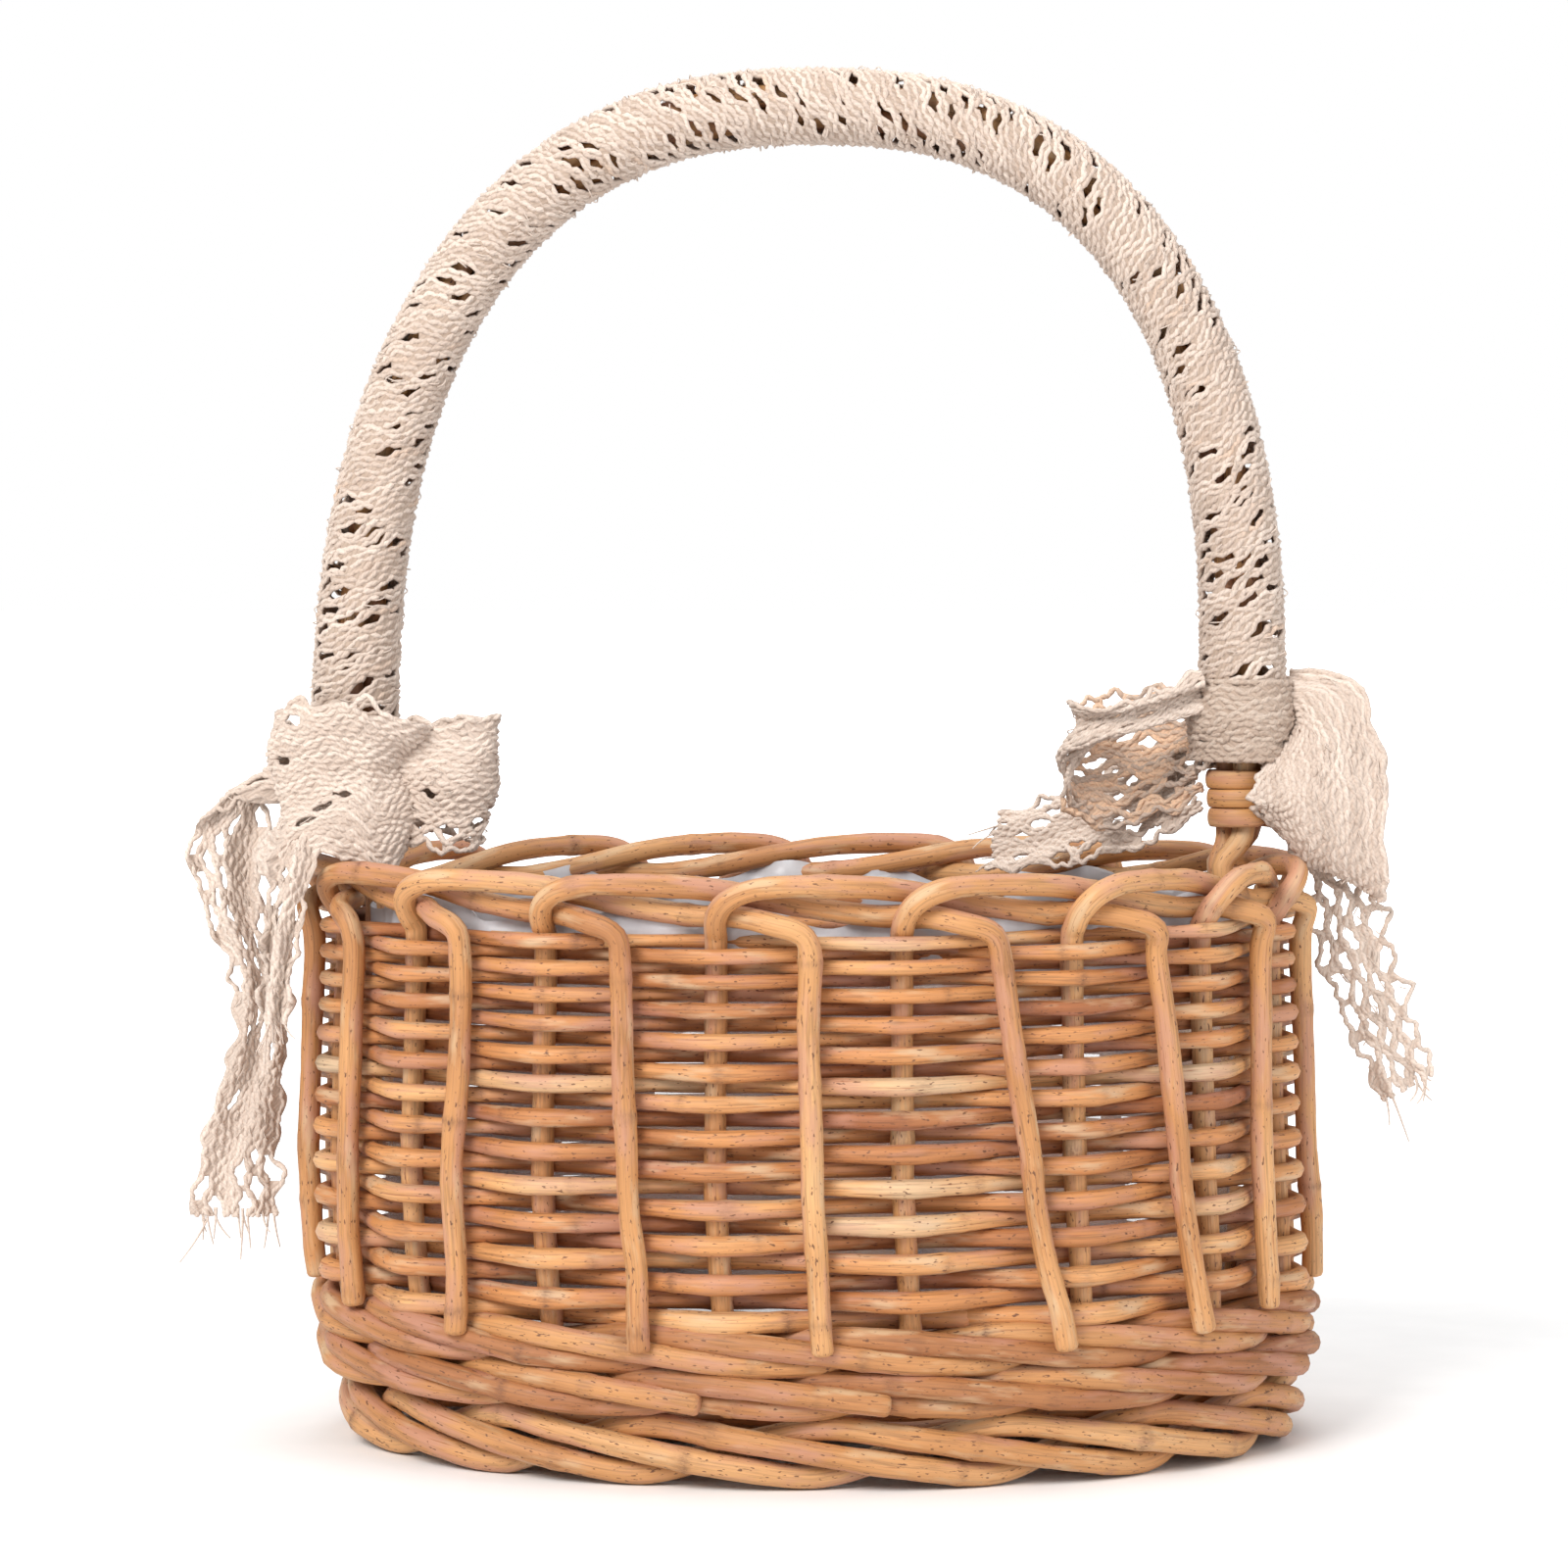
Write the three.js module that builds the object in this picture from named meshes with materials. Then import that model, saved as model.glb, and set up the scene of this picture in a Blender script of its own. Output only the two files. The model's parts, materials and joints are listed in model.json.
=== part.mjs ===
// Small oval willow basket with a fixed arch handle, a crocheted lace wrap and two lace bows.
// Millimetres, +Z up, long axis along X, front towards -Y. The origin is the middle of the
// footprint at floor level.
import * as THREE from 'three';

// ---- Driving dimensions -------------------------------------------------------------------
const STAKE_COUNT = 17;            // odd, so that one weaver changes side on every round
const STAKE_RADIUS = 2.1;
const STAKE_FOOT_Z = 15.5;
const WEAVER_HALF_THICKNESS = 1.55;
const ROW_COUNT = 23;
const FIRST_ROW_Z = 33.9;
const LOWEST_ROW_PITCH = 3.95;     // the rows are packed closer towards the rim
const HIGHEST_ROW_PITCH = 2.5;
const CLEARANCE = 0.3;
const WEAVE_REACH = STAKE_RADIUS + WEAVER_HALF_THICKNESS + CLEARANCE;

// Half width of the wall's middle surface against height, and how much shallower than wide it is.
const WALL_PROFILE = [[0, 96], [15, 97.8], [20, 98.4], [32, 99.8], [45, 100.4], [60, 100.2],
  [85, 99.4], [110, 98.4], [130, 98.4]];
const WIDTH_MINUS_DEPTH = 34;

const STEPS_PER_WEAVER = 36;       // a weaver is a little longer than two rounds
const WEAVER_END_GAP = 0.12;

const WALE_RADIUS = 1.9;
const WALE_REACH = STAKE_RADIUS + WALE_RADIUS + CLEARANCE;
const WALE_RISE = 2.3;
const WALE_LEVELS = { lower: 19.4, upper: 28.0 };

const FOOT_HALF_WIDTH = 93;
const FOOT_SHIFT = 3;              // the foot sits a little to the right of the wall's middle
const FOOT_RING_WIDTH = 4.6;
const FOOT_RING_HEIGHT = 4.6;
const FOOT_STRAND_RADIUS = 1.95;
const FOOT_STRAND_LAY = 3.0;
const FOOT_STRAND_Z = 10.1;
const FOOT_STRAND_OUTSET = 2;

const BASE_PANEL_Z = 9.4;
const BASE_PANEL_THICKNESS = 4.2;
const BASE_INSET = 5;
const BASE_STICK_INSETS = [18, 5, 18];
const BASE_STICK_RADIUS = 1.8;

const LINER_HALF_WIDTH = 86.4;
const LINER_HALF_DEPTH = 58.2;
const LINER_FILM = 1.0;
const LINER_FLOOR_Z = 14.2;
const LINER_TOP_Z = 112;

const HANDLE_HALF_SPAN = 92.3;
const HANDLE_SHIFT = -2;           // the feet stand a little to the left of the wall's middle
const HANDLE_SPRING_Z = 150;
const HANDLE_APEX_Z = 276;
const HANDLE_SQUARENESS = 2.4;     // 2 is an ellipse, more is squarer
const HANDLE_LEAN = 3.5;            // the top of the arch leans to the right
const HANDLE_ROD_RADIUS = 2.3;
const HANDLE_BUNDLE_RADIUS = 2.9;
const HANDLE_FOOT_Z = 60;
const HANDLE_SPLAY_LEVELS = [119.5, 126.2];    // the rods part between these heights
const HANDLE_SPLAY = 5.4;
const HANDLE_TUCKED_X = 89.4;      // the parted rods run down inside the wall
const WRAP_RADIUS = 8.8;
const WRAP_BORE = 6.4;
const WRAP_FOOT_Z = 139;
const BINDING_FOOT_Z = 126.3;
const BINDING_HEIGHT = 12;
const BINDING_BORE = 5.8;
const BINDING_RADIUS = 7.4;
const BINDING_TURNS = 3;
const KNOT_BORE = 9.2;
const KNOT_RADIUS = 11.2;

// Course of the rim: each stake bends outwards and to the right, runs behind the next two
// stakes, then turns down as an upright. [stakes passed, outward offset, height]
const RIM_COURSE = [[0, 1.4, 111.2], [0.05, 3.7, 114.2], [0.16, 3.6, 117.8], [0.5, 1.2, 119.6],
  [1, -1.8, 118.6], [1.5, -1.2, 115.4], [2, -2.4, 113.6], [2.3, 3.4, 112.4], [2.46, 5.4, 108.6]];
const STAKE_LEVELS = [STAKE_FOOT_Z, 32, 58, 84, 109];
const UPRIGHT_LEVELS = [98, 78, 58, 40, 35, 29.5];
const UPRIGHT_STEP = 2.5;
const UPRIGHT_OFFSET = 4.4;
const UPRIGHT_TOP_Z = 112;
const UPRIGHT_FLARE = [[28, 4.0], [32.5, 3.8], [40, 0], [130, 0]];
// Sideways lean of each upright's foot, in stake spacings, counted round from the first stake.
const UPRIGHT_LEAN = [-0.12, 0.06, 0.1, -0.08, 0.14, 0.04, -0.1, 0.12, -0.06, 0.08, -0.05,
  -0.05, -0.05, 0.08, 0.02, 0.3, 0.22];

// ---- Colours and finishes -----------------------------------------------------------------
const WILLOW = { color: 0xd69e6e, roughness: 0.62, metalness: 0 };
const WILLOW_DARK = { color: 0xb97f52, roughness: 0.66, metalness: 0 };
const SKEIN = { color: 0xd9a064, roughness: 0.5, metalness: 0 };
const LACE = { color: 0xe8dccb, roughness: 0.95, metalness: 0 };
const FILM = { color: 0xeef1f5, roughness: 0.3, metalness: 0 };

const group = new THREE.Group();

function addPiece(name, geometry, finish) {
  const mesh = new THREE.Mesh(geometry, new THREE.MeshStandardMaterial(finish));
  mesh.name = name;
  group.add(mesh);
  return mesh;
}

// ---- Curves and sections ------------------------------------------------------------------
function readTable(table, key) {
  let next = 1;
  while (next < table.length - 1 && key > table[next][0]) next += 1;
  const [fromKey, fromValue] = table[next - 1];
  const [toKey, toValue] = table[next];
  return THREE.MathUtils.mapLinear(key, fromKey, toKey, fromValue, toValue);
}

function stepAngle(step) {
  return ((step + 0.5) / STAKE_COUNT) * 2 * Math.PI - Math.PI / 2;
}

// Outward direction of an oval with these half sizes, at the parameter angle.
function ovalNormal(halfWidth, halfDepth, angle) {
  return new THREE.Vector3(halfDepth * Math.cos(angle), halfWidth * Math.sin(angle), 0).normalize();
}

// A place on an oval ring: step counts stakes from the front, offset is measured outwards.
function ovalPoint(halfWidth, step, offset, z) {
  const angle = stepAngle(step);
  const halfDepth = halfWidth - WIDTH_MINUS_DEPTH;
  const point = new THREE.Vector3(halfWidth * Math.cos(angle), halfDepth * Math.sin(angle), z);
  return point.addScaledVector(ovalNormal(halfWidth, halfDepth, angle), offset);
}

function wallPoint(step, offset, z) {
  return ovalPoint(readTable(WALL_PROFILE, z), step, offset, z);
}

// A path given by a function of 0..1 that is sampled evenly in its own parameter, so that the
// corners of the extrusion fall on the stakes. sideAt gives the direction of the section's x.
class RodPath extends THREE.Curve {
  constructor(pointAt, sideAt) {
    super();
    this.pointAt = pointAt;
    this.sideAt = sideAt;
  }

  getPoint(t, target = new THREE.Vector3()) {
    return target.copy(this.pointAt(THREE.MathUtils.clamp(t, 0, 1)));
  }

  getUtoTmapping(u) {
    return u;
  }

  computeFrenetFrames(segments) {
    const frames = { tangents: [], normals: [], binormals: [] };
    for (let i = 0; i <= segments; i += 1) {
      const tangent = this.getTangent(i / segments);
      const side = this.sideAt(i / segments);
      const normal = side.clone().addScaledVector(tangent, -side.dot(tangent)).normalize();
      frames.tangents.push(tangent);
      frames.normals.push(normal);
      frames.binormals.push(new THREE.Vector3().crossVectors(tangent, normal));
    }
    return frames;
  }
}

const UP = new THREE.Vector3(0, 0, 1);

function polygonSection(radius, sides, turn = 0) {
  const corners = [];
  for (let i = 0; i < sides; i += 1) {
    const angle = turn + (i / sides) * 2 * Math.PI;
    corners.push(new THREE.Vector2(radius * Math.cos(angle), radius * Math.sin(angle)));
  }
  return new THREE.Shape(corners);
}

function boxSection(halfX, halfY) {
  return new THREE.Shape([new THREE.Vector2(-halfX, -halfY), new THREE.Vector2(halfX, -halfY),
    new THREE.Vector2(halfX, halfY), new THREE.Vector2(-halfX, halfY)]);
}

function sweep(section, path, steps) {
  return new THREE.ExtrudeGeometry(section, { steps, extrudePath: path, bevelEnabled: false });
}

// ---- Stakes: wall, rim and outer uprights, one rod each -----------------------------------
function stakeCourse(index) {
  const lean = UPRIGHT_LEAN[index];
  const inner = STAKE_LEVELS.map((z) => [0, 0, z]);
  const outer = UPRIGHT_LEVELS.map((z) => {
    const shift = (lean * (UPRIGHT_TOP_Z - z)) / (UPRIGHT_TOP_Z - UPRIGHT_LEVELS.at(-1));
    const offset = UPRIGHT_OFFSET + 2 * WEAVE_REACH * Math.abs(shift) + readTable(UPRIGHT_FLARE, z);
    return [UPRIGHT_STEP + shift, offset, z];
  });
  return [...inner, ...RIM_COURSE, ...outer];
}

function courseValue(course, t, column) {
  const place = t * (course.length - 1);
  const before = Math.min(Math.floor(place), course.length - 2);
  return THREE.MathUtils.lerp(course[before][column], course[before + 1][column], place - before);
}

function addStake(index) {
  const course = stakeCourse(index);
  const stepAt = (t) => index + courseValue(course, t, 0);
  const pointAt = (t) => wallPoint(stepAt(t), courseValue(course, t, 1), courseValue(course, t, 2));
  const sideAt = (t) => {
    const half = WALL_PROFILE[0][1];
    return ovalNormal(half, half - WIDTH_MINUS_DEPTH, stepAngle(stepAt(t)));
  };
  const path = new RodPath(pointAt, sideAt);
  const geometry = sweep(polygonSection(STAKE_RADIUS, 5), path, course.length - 1);
  addPiece(`stake_${String(index + 1).padStart(2, '0')}`, geometry, WILLOW);
}

// ---- Side weave: rods that spiral up, in front of one stake and behind the next ------------
function rowPitch(row) {
  return THREE.MathUtils.lerp(LOWEST_ROW_PITCH, HIGHEST_ROW_PITCH, row / ROW_COUNT);
}

function rowHeight(row) {
  return FIRST_ROW_Z + (row * (LOWEST_ROW_PITCH + rowPitch(row))) / 2;
}

function addSideWeavers() {
  const lastStep = ROW_COUNT * STAKE_COUNT;
  for (let start = 0, number = 1; start < lastStep; start += STEPS_PER_WEAVER, number += 1) {
    const end = Math.min(start + STEPS_PER_WEAVER, lastStep);
    const count = end - start;
    const halfHeight = (rowPitch(end / STAKE_COUNT) - CLEARANCE) / 2;
    const pointAt = (t) => {
      const [first, last] = [start + WEAVER_END_GAP, end - WEAVER_END_GAP];
      const step = THREE.MathUtils.clamp(start + t * count, first, last);
      const side = -Math.cos(Math.PI * step);
      return wallPoint(step, side * WEAVE_REACH, rowHeight(step / STAKE_COUNT));
    };
    const section = boxSection(halfHeight, WEAVER_HALF_THICKNESS);
    const geometry = sweep(section, new RodPath(pointAt, () => UP), count);
    addPiece(`side_weaver_${String(number).padStart(2, '0')}`, geometry, WILLOW_DARK);
  }
}

// ---- Three-rod wale: each rod passes outside two stakes and inside the third ---------------
const WALE_CYCLE = [[-WALE_REACH, 0], [0.5, WALE_RISE], [WALE_REACH, WALE_RISE], [4.1, 0],
  [WALE_REACH, -WALE_RISE], [0.5, -WALE_RISE]];

// A wale or foot rod goes once round and ends just before the place where the next one starts.
const BORDER_HALF_STEPS = 2 * STAKE_COUNT;

function borderHalfStep(t) {
  return Math.min(t * BORDER_HALF_STEPS, BORDER_HALF_STEPS - 2 * WEAVER_END_GAP);
}

function addWale(level, centreZ) {
  for (let rod = 0; rod < 3; rod += 1) {
    const pointAt = (t) => {
      const halfStep = borderHalfStep(t);
      const before = Math.floor(halfStep);
      const cycle = WALE_CYCLE.length;
      const from = WALE_CYCLE[(before + 2 * rod) % cycle];
      const to = WALE_CYCLE[(before + 1 + 2 * rod) % cycle];
      const offset = THREE.MathUtils.lerp(from[0], to[0], halfStep - before);
      const rise = THREE.MathUtils.lerp(from[1], to[1], halfStep - before);
      return wallPoint(STAKE_COUNT / 2 + halfStep / 2 + 0.5, offset, centreZ + rise);
    };
    const path = new RodPath(pointAt, () => UP);
    const section = polygonSection(WALE_RADIUS, 4, Math.PI / 4);
    addPiece(`wale_${level}_rod_${rod + 1}`, sweep(section, path, BORDER_HALF_STEPS), WILLOW);
  }
}

// ---- Foot: a flat-bottomed ring under two rods twisted round each other --------------------
function ovalRing(halfWidth, width, height) {
  const outer = halfWidth + width / 2;
  const inner = halfWidth - width / 2;
  const shape = new THREE.Shape();
  shape.absellipse(0, 0, outer, outer - WIDTH_MINUS_DEPTH, 0, 2 * Math.PI, false, 0);
  const hole = new THREE.Path();
  hole.absellipse(0, 0, inner, inner - WIDTH_MINUS_DEPTH, 0, 2 * Math.PI, true, 0);
  shape.holes.push(hole);
  return new THREE.ExtrudeGeometry(shape, { depth: height, bevelEnabled: false, curveSegments: 40 });
}

function addFoot() {
  addPiece('foot_ring', ovalRing(FOOT_HALF_WIDTH, FOOT_RING_WIDTH, FOOT_RING_HEIGHT), WILLOW)
    .position.x = FOOT_SHIFT;
  for (let rod = 0; rod < 2; rod += 1) {
    const pointAt = (t) => {
      const halfStep = borderHalfStep(t);
      const before = Math.floor(halfStep);
      const from = ((before + 2 * rod) * Math.PI) / 2;
      const to = from + Math.PI / 2;
      const out = THREE.MathUtils.lerp(Math.cos(from), Math.cos(to), halfStep - before);
      const rise = THREE.MathUtils.lerp(Math.sin(from), Math.sin(to), halfStep - before);
      const step = (halfStep + STAKE_COUNT + 1) / 2;
      const z = FOOT_STRAND_Z + FOOT_STRAND_LAY * rise;
      const point = ovalPoint(FOOT_HALF_WIDTH + FOOT_STRAND_OUTSET, step, FOOT_STRAND_LAY * out, z);
      point.x += FOOT_SHIFT;
      return point;
    };
    const section = polygonSection(FOOT_STRAND_RADIUS, 4, Math.PI / 4);
    const path = new RodPath(pointAt, () => UP);
    addPiece(`foot_strand_${rod + 1}`, sweep(section, path, BORDER_HALF_STEPS), WILLOW);
  }
}

// ---- Base: woven oval panel on three sticks ------------------------------------------------
function addBase() {
  const halfWidth = FOOT_HALF_WIDTH - BASE_INSET;
  const shape = new THREE.Shape();
  shape.absellipse(0, 0, halfWidth, halfWidth - WIDTH_MINUS_DEPTH, 0, 2 * Math.PI, false, 0);
  const options = { depth: BASE_PANEL_THICKNESS, bevelEnabled: false, curveSegments: 40 };
  addPiece('base_panel', new THREE.ExtrudeGeometry(shape, options), WILLOW_DARK)
    .position.set(FOOT_SHIFT, 0, BASE_PANEL_Z);
  const spacing = (halfWidth - WIDTH_MINUS_DEPTH) / 2;
  BASE_STICK_INSETS.forEach((inset, index) => {
    const length = 2 * (halfWidth - inset);
    const stick = new THREE.CylinderGeometry(BASE_STICK_RADIUS, BASE_STICK_RADIUS, length, 8);
    const mesh = addPiece(`base_stick_${index + 1}`, stick, WILLOW);
    mesh.rotation.z = Math.PI / 2;
    mesh.position.set(FOOT_SHIFT, (index - 1) * spacing, BASE_PANEL_Z - BASE_STICK_RADIUS - CLEARANCE);
  });
}

// ---- Liner: thin open film tub inside the weave --------------------------------------------
function addLiner() {
  const inner = LINER_HALF_WIDTH - LINER_FILM;
  const profile = [[0, LINER_FLOOR_Z], [LINER_HALF_WIDTH, LINER_FLOOR_Z],
    [LINER_HALF_WIDTH, LINER_TOP_Z], [inner, LINER_TOP_Z],
    [inner, LINER_FLOOR_Z + LINER_FILM], [0, LINER_FLOOR_Z + LINER_FILM]];
  const geometry = new THREE.LatheGeometry(profile.map(([r, z]) => new THREE.Vector2(r, z)), 40);
  geometry.rotateX(Math.PI / 2);
  geometry.scale(1, LINER_HALF_DEPTH / LINER_HALF_WIDTH, 1);
  addPiece('liner', geometry, FILM);
}

// ---- Handle: three rods bent in an arch, wrapped in lace, bound with skein at both feet -----
const ARCH_STEPS = 24;

// Centre line of the arch, from the left spring to the right one.
function archPoint(t) {
  const angle = Math.PI * (1 - t);
  const squash = (value) => Math.sign(value) * Math.abs(value) ** (2 / HANDLE_SQUARENESS);
  const rise = squash(Math.sin(angle));
  const x = HANDLE_SHIFT + HANDLE_HALF_SPAN * squash(Math.cos(angle)) + HANDLE_LEAN * rise;
  return new THREE.Vector3(x, 0, THREE.MathUtils.lerp(HANDLE_SPRING_Z, HANDLE_APEX_Z, rise));
}

// Direction from the arch towards its middle, square to the centre line.
function archInward(t) {
  const step = 0.01;
  const ahead = archPoint(Math.min(t + step, 1)).sub(archPoint(Math.max(t - step, 0)));
  return new THREE.Vector3(ahead.z, 0, -ahead.x).normalize();
}

function handleFootX(side) {
  return HANDLE_SHIFT + side * HANDLE_HALF_SPAN;
}

function legStations(side, levels) {
  return levels.map((z) => ({
    point: new THREE.Vector3(handleFootX(side), 0, z),
    inward: new THREE.Vector3(-side, 0, 0),
  }));
}

// Places along the handle, from the left foot over the arch to the right foot.
function handleStations(legLevels) {
  const arch = [];
  for (let i = 0; i <= ARCH_STEPS; i += 1) {
    arch.push({ point: archPoint(i / ARCH_STEPS), inward: archInward(i / ARCH_STEPS) });
  }
  return [...legStations(-1, legLevels), ...arch, ...legStations(1, [...legLevels].reverse())];
}

function sweepStations(section, stations, pointOf) {
  const at = (t) => {
    const place = t * (stations.length - 1);
    const before = Math.min(Math.floor(place), stations.length - 2);
    return { from: stations[before], to: stations[before + 1], mix: place - before };
  };
  const pointAt = (t) => {
    const { from, to, mix } = at(t);
    return pointOf(from).lerp(pointOf(to), mix);
  };
  const path = new RodPath(pointAt, () => new THREE.Vector3(0, 1, 0));
  return sweep(section, path, stations.length - 1);
}

function addHandle() {
  const [splayFrom, splayTo] = HANDLE_SPLAY_LEVELS;
  const rodStations = handleStations([HANDLE_FOOT_Z, splayFrom, splayTo]);
  for (let rod = 0; rod < 3; rod += 1) {
    const turn = (rod / 3) * 2 * Math.PI;
    const pointOf = ({ point, inward }) => {
      if (point.z < splayTo) {
        const y = HANDLE_SPLAY * Math.sign(Math.round(Math.sin(turn)));
        return new THREE.Vector3(Math.sign(point.x) * HANDLE_TUCKED_X, y, point.z);
      }
      const y = HANDLE_BUNDLE_RADIUS * Math.sin(turn);
      return point.clone().addScaledVector(inward, HANDLE_BUNDLE_RADIUS * Math.cos(turn)).setY(y);
    };
    const section = polygonSection(HANDLE_ROD_RADIUS, 4, Math.PI / 4);
    addPiece(`handle_rod_${rod + 1}`, sweepStations(section, rodStations, pointOf), WILLOW);
  }
  const wrap = polygonSection(WRAP_RADIUS, 8, Math.PI / 8);
  wrap.holes.push(new THREE.Path(polygonSection(WRAP_BORE, 8, Math.PI / 8).getPoints().reverse()));
  const wrapStations = handleStations([WRAP_FOOT_Z]);
  addPiece('handle_lace_wrap', sweepStations(wrap, wrapStations, ({ point }) => point.clone()), LACE);
}

// A ring round an upright axis, its outside swelling once for each turn.
function ring(bore, radius, height, turns, segments) {
  const swell = (radius - bore) * 0.3;
  const profile = [[bore, 0], [radius - swell, 0]];
  for (let turn = 0; turn < turns; turn += 1) {
    profile.push([radius, ((turn + 0.5) * height) / turns]);
    profile.push([radius - swell, ((turn + 1) * height) / turns]);
  }
  profile.push([bore, height], [bore, 0]);
  const geometry = new THREE.LatheGeometry(profile.map(([r, z]) => new THREE.Vector2(r, z)), segments);
  return geometry.rotateX(Math.PI / 2);
}

function addBindings() {
  [['left', -1], ['right', 1]].forEach(([side, sign]) => {
    const geometry = ring(BINDING_BORE, BINDING_RADIUS, BINDING_HEIGHT, BINDING_TURNS, 16);
    addPiece(`handle_binding_${side}`, geometry, SKEIN)
      .position.set(handleFootX(sign), 0, BINDING_FOOT_Z);
  });
}

// ---- Bows: lace ribbon knotted round the handle, with two loops and two hanging tails --------
// A soft piece: its outline seen from the front, given a thickness from back to front.
function softPiece(name, outline, backY, frontY) {
  const shape = new THREE.Shape(outline.map(([x, z]) => new THREE.Vector2(x, z)));
  const edge = 1;
  const geometry = new THREE.ExtrudeGeometry(shape, {
    depth: backY - frontY - 2 * edge, bevelEnabled: true, bevelThickness: edge, bevelSize: edge,
    bevelOffset: -edge, bevelSegments: 1,
  });
  geometry.rotateX(Math.PI / 2);
  addPiece(name, geometry, LACE).position.y = backY - edge;
}

function addKnot(name, sign, footZ, height) {
  addPiece(name, ring(KNOT_BORE, KNOT_RADIUS, height, 1, 16), LACE)
    .position.set(handleFootX(sign), 0, footZ);
}

function addLeftBow() {
  addKnot('left_bow_knot', -1, 131, 15);
  softPiece('left_bow_front_loop', [[-110, 130], [-109, 146], [-103, 152], [-92, 153], [-83, 148],
    [-82, 133], [-85, 124], [-88, 120], [-93, 123], [-102, 124]], -12, -26);
  softPiece('left_bow_side_loop', [[-81, 128], [-81, 147], [-72, 150], [-64, 152], [-63.5, 141],
    [-66, 130], [-70, 125]], -12, -25);
  softPiece('left_bow_long_tail', [[-106.3, 139], [-112, 138], [-121, 132], [-126, 121], [-123, 110],
    [-118, 98], [-120, 84], [-125, 66], [-128, 50], [-127, 44], [-108, 44], [-110, 64], [-111, 84],
    [-109.5, 100], [-113, 112], [-115, 121], [-111, 130], [-106.3, 131]], 2, -7);
  softPiece('left_bow_short_tail', [[-107, 116], [-101, 118], [-101.5, 105], [-103, 93], [-107.5, 90],
    [-109, 103]], -25, -30);
}

function addRightBow() {
  addKnot('right_bow_knot', 1, 141, 16);
  softPiece('right_bow_inner_loop', [[78.4, 131], [78.4, 153], [70, 155], [60, 150], [54, 147], [55, 136],
    [59, 127], [68, 126]], 12, -4);
  softPiece('right_bow_outer_loop', [[104, 140], [104, 157], [112, 155], [118, 147], [119, 130],
    [118, 112], [113, 112], [108.5, 124]], 8, -6);
  softPiece('right_bow_outer_tail', [[111, 113], [113, 110], [118.5, 110], [121, 102], [125, 90],
    [128, 78], [127, 70], [120, 78], [114, 92], [108.5, 106]], 2, -3);
}

// The tail that lies towards the back rim leaves the knot at a slant to the long axis.
function addRightInnerTail() {
  const length = 48;
  const width = 17;
  const thickness = 3;
  const outline = new THREE.Shape([new THREE.Vector2(0, -4), new THREE.Vector2(length, -width / 2),
    new THREE.Vector2(length + 3, 0), new THREE.Vector2(length, width / 2), new THREE.Vector2(0, 4)]);
  const geometry = new THREE.ExtrudeGeometry(outline, { depth: thickness, bevelEnabled: false });
  const mesh = addPiece('right_bow_inner_tail', geometry, LACE);
  mesh.rotation.set(0, THREE.MathUtils.degToRad(15), THREE.MathUtils.degToRad(142), 'ZYX');
  mesh.position.set(77, 18, 131);
}

for (let index = 0; index < STAKE_COUNT; index += 1) addStake(index);
addSideWeavers();
addWale('lower', WALE_LEVELS.lower);
addWale('upper', WALE_LEVELS.upper);
addFoot();
addBase();
addLiner();
addHandle();
addBindings();
addLeftBow();
addRightBow();
addRightInnerTail();

// The origin goes to the middle of the footprint, at floor level.
const extent = new THREE.Box3().setFromObject(group, true);
const middle = extent.getCenter(new THREE.Vector3());
group.position.set(-middle.x, -middle.y, -extent.min.z);

export default group;
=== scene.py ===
"""Looks of the flower girl basket: peeled willow weave, milky liner and crocheted lace.

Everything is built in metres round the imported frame. Lengths named here are millimetres,
turned into metres with MM.
"""
import json
import math

import bpy
import numpy as np
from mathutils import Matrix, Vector

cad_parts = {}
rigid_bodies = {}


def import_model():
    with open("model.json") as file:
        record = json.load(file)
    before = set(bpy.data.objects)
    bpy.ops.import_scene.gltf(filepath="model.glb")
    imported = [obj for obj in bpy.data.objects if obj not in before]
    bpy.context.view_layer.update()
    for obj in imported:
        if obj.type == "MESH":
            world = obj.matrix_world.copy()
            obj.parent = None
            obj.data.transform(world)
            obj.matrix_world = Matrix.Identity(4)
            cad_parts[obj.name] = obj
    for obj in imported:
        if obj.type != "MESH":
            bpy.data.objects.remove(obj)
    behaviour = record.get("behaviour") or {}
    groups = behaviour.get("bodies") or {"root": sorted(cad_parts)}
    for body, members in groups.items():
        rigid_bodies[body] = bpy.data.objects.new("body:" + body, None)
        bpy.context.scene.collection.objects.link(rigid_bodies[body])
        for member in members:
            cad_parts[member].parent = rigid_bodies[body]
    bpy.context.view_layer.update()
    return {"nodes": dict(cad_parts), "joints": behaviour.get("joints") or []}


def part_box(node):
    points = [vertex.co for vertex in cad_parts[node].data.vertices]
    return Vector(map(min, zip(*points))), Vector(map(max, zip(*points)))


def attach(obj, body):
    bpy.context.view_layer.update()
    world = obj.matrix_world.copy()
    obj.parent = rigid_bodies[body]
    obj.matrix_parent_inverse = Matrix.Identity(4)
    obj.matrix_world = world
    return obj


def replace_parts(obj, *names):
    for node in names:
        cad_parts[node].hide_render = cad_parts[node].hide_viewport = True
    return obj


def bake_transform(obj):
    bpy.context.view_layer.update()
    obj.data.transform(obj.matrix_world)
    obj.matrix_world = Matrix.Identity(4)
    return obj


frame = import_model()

MM = 0.001
ROOT = frame["joints"][0]["parent"]
UP = np.array([0.0, 0.0, 1.0])


# ---- Sizes read from the frame -----------------------------------------------------------
def names_like(prefix):
    return sorted(n for n in frame["nodes"] if n.startswith(prefix))


def box_mm(node):
    low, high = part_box(node)
    return np.array(low) / MM, np.array(high) / MM


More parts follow.
